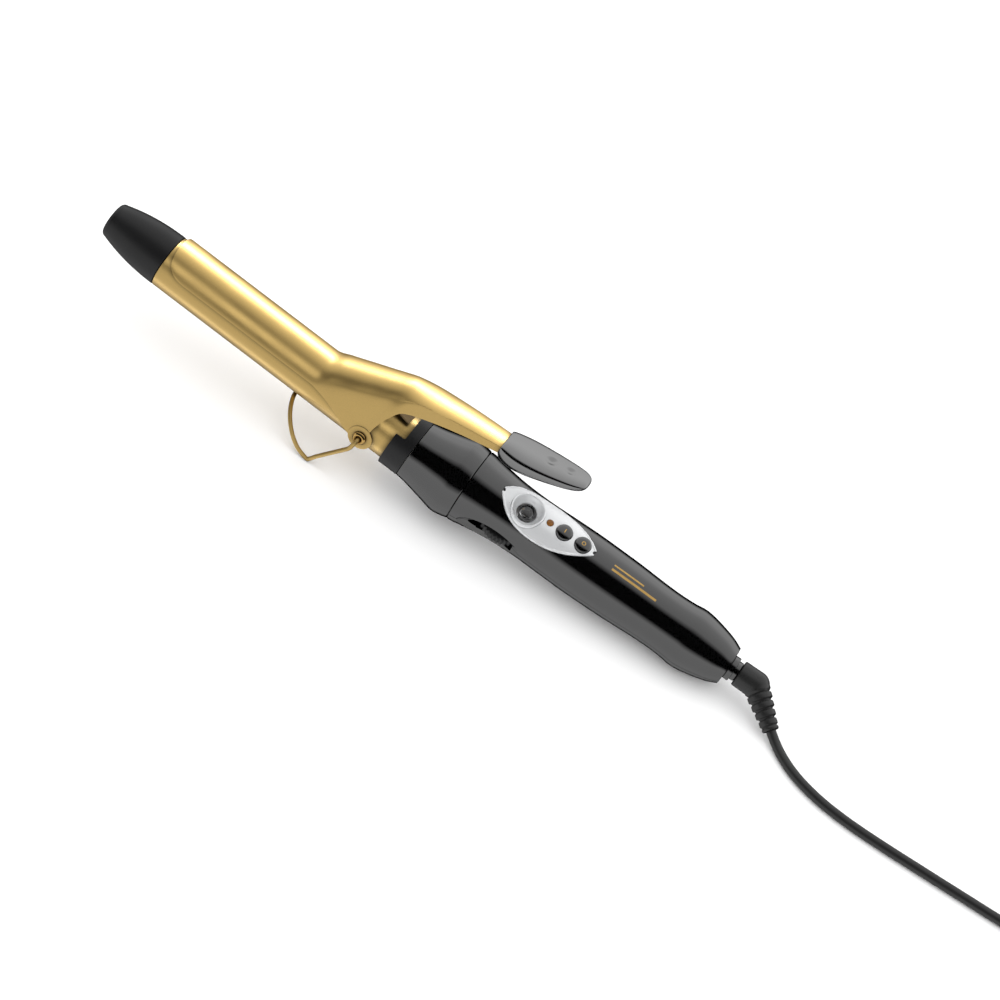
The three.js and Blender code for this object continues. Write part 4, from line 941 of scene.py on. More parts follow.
# Place, top, shoulder half-width and height, edge half-width and height of the outer face.
CLAMP_STATIONS = [
    (-90.0, TROUGH, TROUGH * math.sin(SHOULDER), TROUGH * math.cos(SHOULDER),
     TROUGH * math.sin(SPAN), TROUGH * math.cos(SPAN)),
    (-84.0, TROUGH, TROUGH * math.sin(SHOULDER), TROUGH * math.cos(SHOULDER),
     TROUGH * math.sin(SPAN), TROUGH * math.cos(SPAN)),
    (-76.6, 17.2, 11.3, 11.2, 13.8, 3.2),
    (-66.6, 21.8, 11.3, 15.6, 14.0, -0.6),
    (-57.6, 26.0, 11.0, 19.8, 14.0, -4.9),
    (-50.6, 29.3, 10.6, 23.6, 14.0, -5.9),
    (-49.0, 30.1, 10.5, 24.4, 14.0, 5.0),
    (-46.2, 31.1, 10.3, 26.0, 13.4, 15.0),
    (-42.6, 31.6, 9.9, 27.8, 11.2, 20.5),
    (-34.5, 32.7, 9.0, 30.2, 9.3, 23.4),
    (-15.0, 35.3, 7.5, 33.5, 7.8, 29.0),
    (LEVER_END, 37.4, 5.6, 36.4, 5.8, 33.4),
]


def slopes(places, values):
    """A slope at every point that keeps the line between them free of overshoot."""
    steps = [(v2 - v1) / (x2 - x1) for x1, x2, v1, v2 in
             zip(places, places[1:], values, values[1:])]
    inner = [0.0 if a * b <= 0 else 2 * a * b / (a + b) for a, b in zip(steps, steps[1:])]
    return [steps[0], *inner, steps[-1]]


def station_curves():
    """The clamp's stations as (places, values, slopes) for each of their numbers."""
    places = [station[0] for station in CLAMP_STATIONS]
    columns = list(zip(*CLAMP_STATIONS))[1:]
    return [(places, values, slopes(places, values)) for values in columns]


CLAMP_CURVES = station_curves()


def along_curve(curve, x):
    """The smooth value of one station number at a place."""
    places, values, tangents = curve
    if x <= places[0]:
        return values[0]
    if x >= places[-1]:
        return values[-1]
    i = next(k for k in range(len(places) - 1) if x <= places[k + 1])
    length = places[i + 1] - places[i]
    t = (x - places[i]) / length
    rise = (values[i] * (1 + 2 * t) + tangents[i] * length * t) * (1 - t) ** 2
    return rise + (values[i + 1] * (3 - 2 * t) + tangents[i + 1] * length * (t - 1)) * t * t


def clamp_section(x, across):
    """The outer face's (y, z) at a place and a share of the way across, from -1 to 1."""
    top, shoulder_y, shoulder_z, edge_y, edge_z = (along_curve(c, x) for c in CLAMP_CURVES)
    drop = top - shoulder_z
    radius = (shoulder_y ** 2 + drop ** 2) / (2 * drop)
    shoulder_angle = math.asin(min(1.0, shoulder_y / radius))
    share, side = abs(across), math.copysign(1, across)
    crown = 0.6
    if share <= crown:
        angle = shoulder_angle * share / crown
        return side * radius * math.sin(angle), top - radius * (1 - math.cos(angle))
    t = (share - crown) / (1 - crown)
    reach = (edge_y - shoulder_y) * 0.75
    bend_y = shoulder_y + reach
    bend_z = max(shoulder_z - reach * math.tan(shoulder_angle),
                 edge_z + (shoulder_z - edge_z) * 0.4)
    y = (1 - t) ** 2 * shoulder_y + 2 * t * (1 - t) * bend_y + t * t * edge_y
    z = (1 - t) ** 2 * shoulder_z + 2 * t * (1 - t) * bend_z + t * t * edge_z
    return side * y, z


def clamp_sheet():
    """The outer face of the trough and the lever as one pressed sheet."""
    bm = bmesh.new()
    along_steps, across_steps, trough_steps = 110, 56, 26
    bmesh.ops.create_grid(bm, x_segments=along_steps, y_segments=across_steps, size=1)
    straight = CLAMP_FRONT + TONGUE
    for vert in bm.verts:
        step = (vert.co.x + 1) / 2 * along_steps
        across = max(-1.0, min(1.0, vert.co.y))
        front = straight - TONGUE * (1 - abs(across) ** 2.2) ** (1 / 2.2)
        in_trough = min(1.0, step / trough_steps)
        behind = max(0.0, (step - trough_steps) / (along_steps - trough_steps))
        x = front + (-84.0 - front) * in_trough + (LEVER_END + 84.0) * behind
        y, z = clamp_section(x, across)
        vert.co = (x, y, z)
    bmesh.ops.recalc_face_normals(bm, faces=bm.faces)
    if sum(face.normal.z for face in bm.faces) < 0:
        bmesh.ops.reverse_faces(bm, faces=bm.faces)
    return bm


def clamp_plate():
    """The gold clamp: sheet, pivot ears and rivet holes, with painted shade on its rim and bevels."""
    plate = draft("curl_clamp", clamp_sheet())
    for look in ("satin_gold", "gold_edge_painted_shade"):
        plate.data.materials.append(finishes()[look])
    thickened(plate, CLAMP_SHEET, -1)
    # The sheet's rim and bevel faces take the second slot, the gold with painted edge shade.
    plate.modifiers["wall"].material_offset_rim = 1
    soft = plate.modifiers.new("soft", "BEVEL")
    soft.width = CLAMP_SOFTNESS
    soft.segments = 4
    soft.material = 1
    soft.limit_method = "ANGLE"
    soft.angle_limit = math.radians(60)
    applied(plate)
    for side in (-1, 1):
        low, high = sorted(side * face for face in EAR_FACES)
        ear = softened(pillar(EAR_RADIUS, low, high, segments=96), 0.2, 3)
        ear.transform(Matrix.Translation(PIVOT) @ FACES_ACROSS)
        carved(plate, ear, operation="UNION")
    carved(plate, cross_bore(RIVET_HOLE, 18, PIVOT))
    # Keeps which faces carry the painted edge shade, since settled() clears the slots.
    edges = [face.material_index for face in plate.data.polygons]
    settled(plate, IRON, "satin_gold", "clamp", "satin_gold", "clamp_plate", limit=0.7)
    plate.data.materials.append(finishes()["gold_edge_painted_shade"])
    plate.data.polygons.foreach_set("material_index", edges)
    return plate


class IRON_OT_clamp(bpy.types.Operator):
    """Adds the spring clamp and its lever"""

    bl_idname = "iron.clamp"
    bl_label = "Clamp"

    def execute(self, context):
        clamp_plate()
        # The leaf spring and its rivet take the spring finish, whose darkness is painted shade.
        for node in ("clamp_spring", "spring_rivet"):
            dress_node(node, "spring")
        return {"FINISHED"}


def dress_node(node, look):
    """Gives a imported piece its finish."""
    piece = frame["nodes"][node]
    piece.data.materials.clear()
    piece.data.materials.append(finishes()[look])


# ---------------------------------------------------------------- thumb rest

REST_SECTIONS = [  # place, underside, top, half-width
    (1.6, 31.0, 37.7, 7.5), (2.4, 29.5, 38.1, 8.2), (4.4, 28.4, 38.6, 9.0), (8, 28.3, 39.2, 9.9),
    (12, 28.9, 39.9, 10.4), (17, 30.5, 40.8, 10.4), (22, 32.4, 41.7, 10.0), (27, 34.3, 42.7, 9.4),
    (32, 36.3, 43.7, 8.6), (36, 38.0, 44.5, 7.8), (39, 39.4, 45.0, 6.8), (41, 40.6, 45.0, 5.6),
    (42.2, 41.7, 44.7, 3.9), (42.75, 42.8, 44.0, 1.8),
]
# A half section: share of the half-width, and height as a share from underside to top.
REST_HALF = [
    (0.0, 1.0), (0.4, 0.985), (0.74, 0.93), (0.93, 0.84), (1.0, 0.7), (0.97, 0.45), (0.86, 0.2),
    (0.6, 0.04), (0.3, 0.0), (0.0, 0.0),
]
REST_DIMPLES = [(23.2, 2.9, 0.9), (32.5, 2.5, 0.7)]  # place, radius, depth


def rest_loop(bm, section):
    """One ring of the thumb rest's body."""
    x, low, high, wide = section
    half = [(wide * across, low + (high - low) * up) for across, up in REST_HALF]
    ring = half + [(-y, z) for y, z in reversed(half[1:-1])]
    verts = [bm.verts.new((x, y, z)) for y, z in ring]
    return [bm.edges.new(pair) for pair in zip(verts, verts[1:] + verts[:1])]


def thumb_rest():
    """The moulded thumb rest with two dimples in its top."""
    bm = bmesh.new()
    loops = [rest_loop(bm, section) for section in REST_SECTIONS]
    for one, other in zip(loops, loops[1:]):
        bmesh.ops.bridge_loops(bm, edges=one + other)
    for loop in (loops[0], loops[-1]):
        bmesh.ops.holes_fill(bm, edges=loop, sides=0)
    front = [face for face in bm.faces if len(face.verts) > 8 and face.calc_center_median().x < 3]
    bmesh.ops.inset_region(bm, faces=front, thickness=0.5)
    rest = draft("lever_rest", cleaned(bm))
    smooth = rest.modifiers.new("smooth", "SUBSURF")
    smooth.levels = smooth.render_levels = 3
    applied(rest)
    for vert in rest.data.vertices:
        if vert.normal.z < 0.5:
            continue
        for x, radius, depth in REST_DIMPLES:
            near = math.hypot(vert.co.x - x, vert.co.y) / radius
            if near < 1.3:
                vert.co.z -= depth * (1 - eased(near / 1.3))
    return settled(rest, IRON, "rest_black", "clamp", "gloss_black", "thumb_rest", limit=0.9)


class IRON_OT_thumb_rest(bpy.types.Operator):
    """Adds the thumb rest on the lever's end"""

    bl_idname = "iron.thumb_rest"
    bl_label = "Thumb rest"

    def execute(self, context):
        thumb_rest()
        return {"FINISHED"}


# ---------------------------------------------------------------- stand and pivot

STAND_SIDE = [
    (-51.6, 9.5, -2.9), (-51.6, 13, -2.9), (-51.6, 15.6, -2.9), (-51.7, 17.3, -3.8),
    (-52.0, 18, -5.5), (-52.5, 18.4, -7.8), (-54.6, 18.9, -10.9), (-62.2, 20.6, -21.2),
    (-64.4, 21, -24.8), (-65.8, 21, -25.8),
]


def stand_line():
    """The wire from one pivot round the loop to the other."""
    line = [(x, -y, z) for x, y, z in STAND_SIDE]
    last_x, _, last_z = STAND_SIDE[-1]
    for step in range(1, 12):
        angle = math.pi * step / 12
        out = math.sin(angle)
        height = last_z + (-14.2 - last_z) * out ** 1.6
        line.append((last_x - 22.5 * out, -21 * math.cos(angle), height))
    return line + STAND_SIDE[::-1]


def wire_stand():
    """The folding stand, bent from one wire."""
    radius = bpy.context.scene.iron_sizes.wire_radius / MM
    stand = wire("wire_stand", stand_line(), radius, 8)
    return settled(stand, IRON, "satin_gold", "stand", "satin_gold", "stand_wire", limit=1.0)


def pivot_rivet(side, name, node):
    """A hollow rivet with a rolled head."""
    line = rounded([
        (8, 1.3), (8, 2.0), (14.3, 2.0), (14.3, 3.25), (14.9, 3.25), (15.8, 2.5), (15.85, 1.9),
        (15.3, 1.3), (8, 1.3)], 0.35, 4)
    bm = spun(line[:-1], 64, closed=True)
    bm.transform(Matrix.Translation(PIVOT) @ Matrix.Rotation(side * math.pi / 2, 4, "Z"))
    rivet = draft(name, bm)
    return settled(rivet, IRON, "brass", "handle", "brass", node)


class IRON_OT_stand(bpy.types.Operator):
    """Adds the wire stand and the two hollow pivot rivets"""

    bl_idname = "iron.stand"
    bl_label = "Stand"

    def execute(self, context):
        wire_stand()
        pivot_rivet(-1, "rivet_near", "pivot_rivet_near")
        pivot_rivet(1, "rivet_far", "pivot_rivet_far")
        return {"FINISHED"}


# ---------------------------------------------------------------- front housing and grip

HANDLE_RISE = 2.2
HANDLE_TILT = math.radians(3.1)


def front_housing():
    """The housing that joins the barrel's axis to the handle's."""
    outline = through([
        (HOUSING_FRONT, 14.5), (-24, 15.3), (-15.9, 17.2), (-9, 18.9), (-6.5, 19.1), (-3, 18.6),
        (-0.5, 18.05)], 8)
    nose = [(HOUSING_FRONT, 9.9), (HOUSING_FRONT, 14.1)]
    line = nose + outline + [(-0.15, 17.75), (-0.15, 15.6)]
    inner = [(-6, 16.6), (-17, 14.5), (-26.4, 12.5), (-26.4, 9.9)]
    bm = spun(line + inner, 128, closed=True)
    for vert in bm.verts:
        x, y, z = vert.co
        share = 1 + x / -HOUSING_FRONT
        lean = HANDLE_TILT * share
        vert.co = (x - z * math.sin(lean), y, HANDLE_RISE * share + z * math.cos(lean))
    housing = draft("nose_housing", bm)
    return settled(housing, IRON, "gloss_black", "handle", "gloss_black", "front_housing")


GRIP = through([
    (0.15, 18.0), (3, 17.8), (7, 17.05), (13, 16.15), (20, 15.35), (28.5, 14.9), (37.5, 14.8),
    (55, 15.25), (66, 15.3), (83.4, 14.9), (97.4, 14.2), (106.4, 14.02), (113.4, 14.3),
    (118.8, 14.92), (123.4, 14.6), (128.4, 13.65), (133.4, 12.45), (137.4, 11.2),
    (141.4, 9.4)], 8)


PANEL_START, PANEL_END = 14.3, 64.0
PANEL_HALF_WIDTH = 10.6


def grip_height(x, y):
    """The height of the grip's surface over its axis."""
    radius = between(GRIP, x)
    return math.sqrt(max(0.01, radius * radius - y * y))


def panel_edge(margin, steps=16):
    """The leaf-shaped outline of the controls plate, as (x, y) points."""
    start, end, wide = PANEL_START - margin, PANEL_END + margin, PANEL_HALF_WIDTH + margin
    middle = PANEL_START + (PANEL_END - PANEL_START) * 0.46
    tip = 1.4  # half the width that is left at each end
    near = [((start, -tip), (start + 5, -wide * 0.72), (middle - 13, -wide), (middle, -wide)),
            ((middle, -wide), (middle + 13, -wide), (end - 6, -wide * 0.62), (end, -tip))]
    line = []
    for a, b, c, d in near:
        for step in range(steps):
            t = step / steps
            line.append(tuple(
                p * (1 - t) ** 3 + 3 * q * t * (1 - t) ** 2 + 3 * r * t * t * (1 - t) + s * t ** 3
                for p, q, r, s in zip(a, b, c, d)))
    line.append((end, -tip))
    return line + [(x, -y) for x, y in reversed(line)]


def sliced(bm, xs, ys):
    """Cuts a mesh along planes, so that its faces can bend."""
    planes = [((x, 0, 0), (1, 0, 0)) for x in xs] + [((0, y, 0), (0, 1, 0)) for y in ys]
    for place, normal in planes:
        whole = list(bm.verts) + list(bm.edges) + list(bm.faces)
        bmesh.ops.bisect_plane(bm, geom=whole, plane_co=place, plane_no=normal, dist=0.0005)
    return bm


def panel_planes():
    """The places of the cuts across the controls plate."""
    return [14.8 + 1.1 * i for i in range(45)], [-10.4 + 0.8 * i for i in range(27)]


def grip_prism(margin, low, high):
    """A prism over the plate's outline whose two faces follow the grip."""
    bm = sliced(prism(panel_edge(margin), 0, 1), *panel_planes())
    for vert in bm.verts:
        level = high if vert.co.z > 0.5 else low
        vert.co.z = grip_height(vert.co.x, vert.co.y) + level
    return bm


def seam_softened(bm, height):
    """A small bevel along the outer edge of the parting line."""
    edges = [edge for edge in bm.edges
             if all(abs(v.co.z - height) < 0.01 for v in edge.verts)
             and all(abs(v.co.y) > between(GRIP, v.co.x) - 0.3 for v in edge.verts)
             and abs(edge.verts[0].co.x - edge.verts[1].co.x) > 0.01]
    bmesh.ops.bevel(
        bm, geom=edges, offset=0.22, segments=2, profile=0.5, affect="EDGES", material=-1,
        clamp_overlap=True)
    return bm


def shell_half(side):
    """Half of the hollow grip, above or below the parting line."""
    outer = [(0.15, 17.7), (0.4, 17.98)] + GRIP[1:-1] + [(141.3, 9.5), (141.4, 9.2)]
    inner = [(141.4, 4.95), (139, 4.95)] + [
        (x, between(GRIP, x) - 2) for x in (138.9, 129, 118, 105, 60, 28, 14, 6, 0.15)]
    bm = spun(outer + inner, 144, closed=True)
    gap = SEAM_GAP * side
    whole = list(bm.verts) + list(bm.edges) + list(bm.faces)
    bmesh.ops.bisect_plane(
        bm, geom=whole, plane_co=(0, 0, gap), plane_no=(0, 0, -side), clear_outer=True)
    open_edges = [edge for edge in bm.edges if edge.is_boundary]
    bmesh.ops.holes_fill(bm, edges=open_edges, sides=0)
    return seam_softened(cleaned(bm), gap)


SEAM_GAP = 0.13
WHEEL_X, WHEEL_Y = 22.5, -2.418
RING_X, RING_Y = 28.6, -0.75
LIGHT_X, ON_X, OFF_X = 39.9, 47.5, 57.4
SCREW_PLACES = (5.0, 107.0)
STRIPES = ((74, 98, -1.4, 0.55), (74, 90, 0.9, 0.4))  # start, end, place across, half-width


def wheel_cutters():
    """The thumb scallop and the slot that the wheel comes out of."""
    scallop = bmesh.new()
    surface = between(GRIP, WHEEL_X)
    place = Matrix.Translation((WHEEL_X, -surface - 4.1, 0)) @ Matrix.Diagonal((19, 6.5, 9, 1))
    bmesh.ops.create_uvsphere(scallop, u_segments=72, v_segments=48, radius=1, matrix=place)
    slot = softened(slab((WHEEL_X - 9.4, WHEEL_X + 9.4), (-30, -6), (-3.1, 3.1)), 0.5, 2)
    return scallop, slot


def control_holes(margin):
    """The holes of the ring, the light and the two buttons."""
    return [
        pillar(8.2 + margin, 4, 30, RING_X, RING_Y, 96),
        pillar(1.75, 4, 30, LIGHT_X, 0, 48),
        pillar(4.05, 4, 30, ON_X, 0, 72),
        pillar(4.05, 4, 30, OFF_X, 0, 72),
    ]


def upper_shell():
    """The grip's upper half with its seat for the controls plate."""
    shell = draft("shell_upper", shell_half(1))
    carved(shell, grip_prism(0.16, -1.1, 4), *control_holes(0.2), *wheel_cutters())
    return settled(shell, HANDLE, "gloss_black", "handle", "gloss_black", "handle_upper_shell")


def lower_shell():
    """The grip's lower half with its two screw wells."""
    shell = draft("shell_lower", shell_half(-1))
    carved(shell, *wheel_cutters())
    for x in SCREW_PLACES:
        carved(shell, pillar(2.4, -30, -between(GRIP, x) + 5, x, 0))
    return settled(shell, HANDLE, "gloss_black", "handle", "gloss_black", "handle_lower_shell")


def gold_stripes():
    """Two plain gold lines along the grip, in place of any mark."""
    bm = bmesh.new()
    for start, end, y, wide in STRIPES:
        place = Matrix.Translation(((start + end) / 2, y, 0))
        bmesh.ops.create_grid(
            bm, x_segments=24, y_segments=1, size=0.5,
            matrix=place @ Matrix.Diagonal((end - start, 2 * wide, 1, 1)))
    for vert in bm.verts:
        vert.co.z = grip_height(vert.co.x, vert.co.y) + 0.02
    stripes = draft("gold_stripes", bm)
    thickened(stripes, 0.06)
    return settled(applied(stripes), HANDLE, "brass", "handle", "brass")


class IRON_OT_grip(bpy.types.Operator):
    """Adds the front housing and the two halves of the grip"""

    bl_idname = "iron.grip"
    bl_label = "Grip"

    def execute(self, context):
        front_housing()
        upper_shell()
        lower_shell()
        gold_stripes()
        return {"FINISHED"}


# ---------------------------------------------------------------- controls

PLATE_PROUD = 0.3
BUTTON_RISE = 1.55
NOTCH_PLACES = (14.5, 63.8)
NOTCH_RADIUS = 0.95
# The lip's height at distances in from the plate's edge.
LIP = [(0.0, -0.3), (0.12, -0.1), (0.3, 0.0), (0.6, 0.0), (0.85, -0.3), (1.3, -0.34)]


def controls_plate():
    """The silver plate with its raised lip, holes and end notches."""
    outline = panel_edge(-0.1, 28)
    bm = bmesh.new()
    face = bm.faces.new([bm.verts.new((x, y, 0)) for x, y in outline])
    face.normal_update()
    if face.normal.z < 0:
        face.normal_flip()
    raised = bmesh.ops.extrude_face_region(bm, geom=[face])
    bmesh.ops.translate(bm, verts=moved_verts(raised), vec=(0, 0, 1))
    bm.normal_update()
    upper = max(bm.faces, key=lambda item: item.calc_center_median().z)
    for thickness in (0.12, 0.18, 0.45, 0.25, 0.3):
        bmesh.ops.inset_region(bm, faces=[upper], thickness=thickness, use_even_offset=True)
    sliced(bm, *panel_planes())
    edge = [Vector(point) for point in panel_edge(-0.1, 60)]
    for vert in bm.verts:
        surface = grip_height(vert.co.x, vert.co.y)
        if vert.co.z < 0.5:
            vert.co.z = surface - 0.8
            continue
        flat = vert.co.xy
        inside = min((point - flat).length for point in edge)
        vert.co.z = surface + PLATE_PROUD + between(LIP, inside)
    plate = draft("controls_plate", cleaned(bm))
    notches = [pillar(NOTCH_RADIUS, 4, 30, x, 0, 32) for x in NOTCH_PLACES]
    carved(plate, *control_holes(0.05), *notches)
    return settled(plate, HANDLE, "silver", "handle", "silver", "control_panel", limit=0.5)


LENS_Z = 10.9
LENS_RADIUS = 4.4


def dished_ring():
    """The ring that dips from the plate's surface to the lens."""
    line = through([
        (-1.2, 8.12), (0.2, 8.12), (0.52, 7.85), (0.42, 7.5), (-0.1, 7.15), (-0.9, 6.75),
        (-2.1, 6.1), (-3.1, 5.3), (-3.55, 4.9), (-3.9, 4.7)], 5)
    under = [(-4.6, 4.7), (-4.6, 5.8), (-3.2, 6.7), (-1.2, 7.5)]
    bm = standing(spun(line + under, 128, closed=True), RING_X, RING_Y)
    middle = grip_height(RING_X, RING_Y)
    for vert in bm.verts:
        x, y = vert.co.x, vert.co.y
        share = eased((math.hypot(x - RING_X, y - RING_Y) - 4.8) / 3.2)
        vert.co.z += middle + PLATE_PROUD * share + (grip_height(x, y) - middle) * share
    ring = draft("dial_ring", bm)
    return settled(ring, HANDLE, "silver", "handle", "silver", "window_ring", limit=0.9)


def dial_lens():
    """The domed lens over the dial."""
    rim = [(LENS_Z - 0.6, 0), (LENS_Z - 0.6, LENS_RADIUS), (LENS_Z + 0.3, LENS_RADIUS),
           (LENS_Z + 0.55, 4.1), (LENS_Z + 0.5, 3.6), (LENS_Z + 0.15, 3.2)]
    line = rounded(rim, 0.15, 3) + dome(LENS_Z + 0.15, 1.25, 3.2, 12)
    lens = draft("dial_lens", standing(spun(line, 96), RING_X, RING_Y))
    return settled(lens, HANDLE, "clear", "handle", "clear", "window_lens")


def heat_light():
    """The small amber light."""
    top = grip_height(LIGHT_X, 0) + PLATE_PROUD
    line = [(9.0, 0), (9.0, 1.6), (top - 0.2, 1.6)] + dome(top - 0.2, 0.7, 1.6, 8)
    light = draft("heat_light", standing(spun(line, 48), LIGHT_X))
    return settled(light, HANDLE, "amber", "handle", "amber", "indicator_lens")


def button_line(face):
    """A domed button's profile, from its flange to the middle of its face."""
    radius = bpy.context.scene.iron_sizes.button_radius / MM
    flange = radius + 0.7
    stem = [(11.3, 0), (11.3, flange), (11.8, flange), (11.8, radius), (face - 0.2, radius)]
    return stem + dome(face - 0.2, BUTTON_RISE, radius, 16)


KEY_BAR = (0.45, 2.0)
KEY_RING = (1.0, 0.62)


def bar_mark(bm):
    """A short plain bar."""
    bmesh.ops.create_grid(bm, x_segments=2, y_segments=10, size=0.5,
                          matrix=Matrix.Diagonal((*KEY_BAR, 1, 1)))


def ring_mark(bm):
    """A small plain ring."""
    for radius in KEY_RING:
        bmesh.ops.create_circle(bm, segments=48, radius=radius)
    bmesh.ops.bridge_loops(bm, edges=bm.edges)


def push_button(x, shape, name, node, body):
    """A domed button with a small gold bar or ring on its face."""
    face = grip_height(x, 0) + PLATE_PROUD + 0.2
    button = draft(name, standing(spun(button_line(face), 96), x))
    settled(button, HANDLE, "gloss_black", body, "gloss_black", node)
    bm = bmesh.new()
    shape(bm)
    bm.transform(Matrix.Translation((x, 0, 0)))
    mark = draft(f"{name}_mark", cleaned(bm))
    radius = bpy.context.scene.iron_sizes.button_radius / MM
    for vert in mark.data.vertices:
        out = min(0.98, math.hypot(vert.co.x - x, vert.co.y) / radius)
        vert.co.z = face - 0.2 + BUTTON_RISE * math.sqrt(1 - out * out) + 0.02
    thickened(mark, 0.05)
    return settled(applied(mark), HANDLE, "brass", body, "brass")


def flat_word(name, word, size):
    """A number as a flat mesh with small faces."""
    curve = bpy.data.curves.new(name, "FONT")
    curve.body = word
    curve.size = size
    curve.align_x = curve.align_y = "CENTER"
    curve.offset = 0.03
    text = bpy.data.objects.new(name + "_text", curve)
    bpy.context.scene.collection.objects.link(text)
    mesh = final_mesh(text)
    bpy.data.objects.remove(text)
    bm = bmesh.new()
    bm.from_mesh(mesh)
    bmesh.ops.remove_doubles(bm, verts=bm.verts, dist=0.0005)
    bmesh.ops.triangulate(bm, faces=bm.faces)
    bmesh.ops.subdivide_edges(bm, edges=bm.edges, cuts=1, use_grid_fill=True)
    return draft(name, bm)


class IRON_OT_controls(bpy.types.Operator):
    """Adds the controls plate, its ring, lens and light, and the two buttons"""

    bl_idname = "iron.controls"
    bl_label = "Controls"

    def execute(self, context):
        controls_plate()
        dished_ring()
        dial_lens()
        heat_light()
        push_button(ON_X, bar_mark, "on_key", "on_button", "on_button")
        push_button(OFF_X, ring_mark, "off_key", "off_button", "off_button")
        return {"FINISHED"}


# ---------------------------------------------------------------- temperature wheel

WHEEL_RADIUS = 13.0
DIAL_TOP = 8.5


def heat_wheel():
    """The ridged wheel with the dial that shows through the lens."""
    edge = rounded([(-3, 3.4), (-2.5, 3.4), (-2.5, WHEEL_RADIUS), (2.5, WHEEL_RADIUS),
                    (2.5, 3.4), (7.3, 3.4)], 0.45, 3)
    line = [(-3, 0)] + edge + [(7.3, 7.2), (7.5, 7.4), (8.3, 7.4), (DIAL_TOP, 7.2), (DIAL_TOP, 0)]
    ridges = bpy.context.scene.iron_sizes.wheel_ridges
    bm = standing(spun(line, ridges * 8))
    for vert in bm.verts:
        radius = vert.co.xy.length
        if radius > WHEEL_RADIUS - 1:
            wave = 0.5 - 0.5 * math.cos(math.atan2(vert.co.y, vert.co.x) * ridges)
            vert.co.xy *= (radius - 0.7 * wave ** 1.5) / radius
    bm.transform(Matrix.Translation((WHEEL_X, WHEEL_Y, 0)))
    wheel = draft("heat_wheel", bm)
    return settled(wheel, HANDLE, "matte_black", "dial", "gloss_black", "temperature_wheel")


def dial_numbers():
    """The heat settings 1 to 10 round the dial, and a tick for each."""
    bm = bmesh.new()
    count = 10
    for i in range(count):
        angle = math.tau * i / count
        digit = flat_word("digit", str(i + 1), 2.1)
        turn = Matrix.Rotation(angle, 4, "Z") @ Matrix.Translation((5.3, 0, 0))
        digit.data.transform(turn @ Matrix.Rotation(-math.pi / 2, 4, "Z"))
        bm.from_mesh(digit.data)
        bpy.data.objects.remove(digit)
        tick_turn = Matrix.Rotation(angle + math.pi / count, 4, "Z")
        bmesh.ops.create_grid(
            bm, x_segments=1, y_segments=1, size=0.5,
            matrix=tick_turn @ Matrix.Translation((5.9, 0, 0))
            @ Matrix.Diagonal((1, 0.25, 1, 1)))
    bm.transform(Matrix.Translation((WHEEL_X, WHEEL_Y, DIAL_TOP + 0.04)))
    numbers = draft("dial_numbers", bm)
    thickened(numbers, 0.05)
    return settled(applied(numbers), HANDLE, "brass", "dial", "brass")


class IRON_OT_wheel(bpy.types.Operator):
    """Adds the temperature wheel and its numbered dial"""

    bl_idname = "iron.wheel"
    bl_label = "Temperature wheel"

    def execute(self, context):
        heat_wheel()
        dial_numbers()
        return {"FINISHED"}


# ---------------------------------------------------------------- swivel and boot

BOOT_RADIUS = 6.35
BOOT_AIM = Vector((17.4, -11.7, -6.3)).normalized()
ELBOW_X = 156.0


def swivel_stem():
    """The turning stem between the grip and the boot."""
    line = rounded([
        (125.5, 0), (125.5, 3.75), (131.3, 3.75), (131.3, 7.05), (133.5, 7.05), (133.5, 4.65),
        (141.7, 4.65), (141.7, 5.85), (144.4, 5.85), (144.4, 4.65), (146.5, 4.65), (146.5, 0)],
        0.3, 3)
    stem = draft("swivel_stem", spun(line, 96))
    return settled(stem, HANDLE, "gloss_black", "cord", "gloss_black", "swivel_neck")


def boot_sleeve():
    """The ribbed taper that the cord leaves through."""
    line = [(0, 0), (0, 6.15), (3.4, 5.95)]
    for rib in range(4):
        start = 5 + rib * 3.95
        radius = 5.65 + (4.2 - 5.65) * rib / 3
        line += [(start - 0.3, radius - 0.9), (start, radius), (start + 2.45, radius),
                 (start + 2.75, radius - 0.9)]
    line += [(20.9, 4.0), (21.8, 3.6), (21.8, 0)]
    return spun(rounded(line, 0.45, 3), 72)


def flex_boot():
    """The boot: a straight base, a ball elbow and the ribbed sleeve."""
    to_iron = IRON.inverted() @ HANDLE
    straight = [(146.8, 0), (146.8, BOOT_RADIUS - 0.1), (ELBOW_X, BOOT_RADIUS), (ELBOW_X, 0)]
    base = spun(rounded(straight, 0.7, 4), 72)
    base.transform(to_iron)
    elbow = to_iron @ Vector((ELBOW_X, 0, 0))
    ball = bmesh.new()
    bmesh.ops.create_uvsphere(
        ball, u_segments=64, v_segments=40, radius=BOOT_RADIUS + 0.02,
        matrix=Matrix.Translation(elbow))
    sleeve = boot_sleeve()
    turn = Vector((1, 0, 0)).rotation_difference(BOOT_AIM).to_matrix().to_4x4()
    sleeve.transform(Matrix.Translation(elbow) @ turn)
    boot = draft("flex_boot", base)
    carved(boot, ball, sleeve, operation="UNION")
    return settled(boot, IRON, "cord_rubber", "cord", "cord_rubber", "cord_boot")


class IRON_OT_swivel(bpy.types.Operator):
    """Adds the swivel stem and the cord's boot"""

    bl_idname = "iron.swivel"
    bl_label = "Swivel"

    def execute(self, context):
        swivel_stem()
        flex_boot()
        return {"FINISHED"}


# ---------------------------------------------------------------- pieces inside

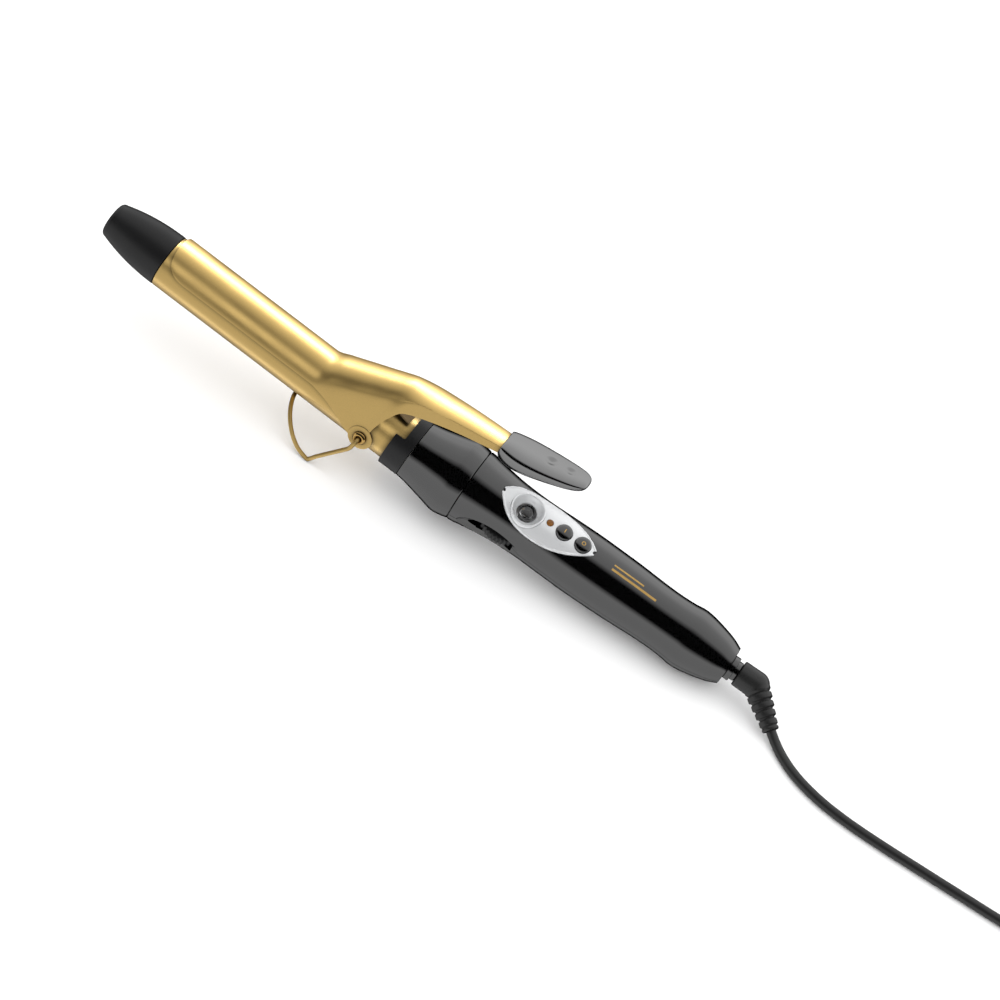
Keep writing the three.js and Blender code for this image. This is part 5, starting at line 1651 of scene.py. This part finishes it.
INNER_LOOKS = {
    "aluminium": ["heat_spreader_upper", "heat_spreader_lower"],
    "ceramic": ["heater_element", "thermistor", "pivot_block", "barrel_seat"],
    "steel": ["thermal_fuse", "handle_screw_front", "handle_screw_rear", "dial_potentiometer"],
    "board": ["circuit_board", "button_board"],
    "matte_black": ["on_switch", "off_switch", "swivel_socket"],
    "silicone": ["heater_lead_near", "heater_lead_far", "mains_lead_near", "mains_lead_far"],
}


class IRON_OT_inside(bpy.types.Operator):
    """Gives the pieces inside the iron their finishes"""

    bl_idname = "iron.inside"
    bl_label = "Pieces inside"

    def execute(self, context):
        for look, nodes in INNER_LOOKS.items():
            for node in nodes:
                dress_node(node, look)
        return {"FINISHED"}


# ---------------------------------------------------------------- panel and registration

STEPS = (
    IRON_OT_stage, IRON_OT_cord, IRON_OT_barrel, IRON_OT_clamp, IRON_OT_thumb_rest,
    IRON_OT_stand, IRON_OT_grip, IRON_OT_controls, IRON_OT_wheel, IRON_OT_swivel,
    IRON_OT_inside,
)


class IRON_PT_build(bpy.types.Panel):
    """Lists the steps that build the iron"""

    bl_idname = "IRON_PT_build"
    bl_label = "Curling iron"
    bl_space_type = "VIEW_3D"
    bl_region_type = "UI"
    bl_category = "Curling iron"

    def draw(self, context):
        for step in STEPS:
            self.layout.operator(step.bl_idname)
        for group in (context.scene.iron_sizes, context.scene.iron_colours):
            for name in group.bl_rna.properties.keys():
                if name not in {"rna_type", "name"}:
                    self.layout.prop(group, name)


CLASSES = (IronSizes, IronColours, *STEPS, IRON_PT_build)


def register():
    for item in CLASSES:
        bpy.utils.register_class(item)
    bpy.types.Scene.iron_sizes = PointerProperty(type=IronSizes)
    bpy.types.Scene.iron_colours = PointerProperty(type=IronColours)


def unregister():
    del bpy.types.Scene.iron_colours
    del bpy.types.Scene.iron_sizes
    for item in reversed(CLASSES):
        bpy.utils.unregister_class(item)


def main():
    """Builds the iron."""
    register()
    for step in STEPS:
        group, name = step.bl_idname.split(".")
        getattr(getattr(bpy.ops, group), name)()
    bpy.context.view_layer.update()


if __name__ == "__main__":
    main()
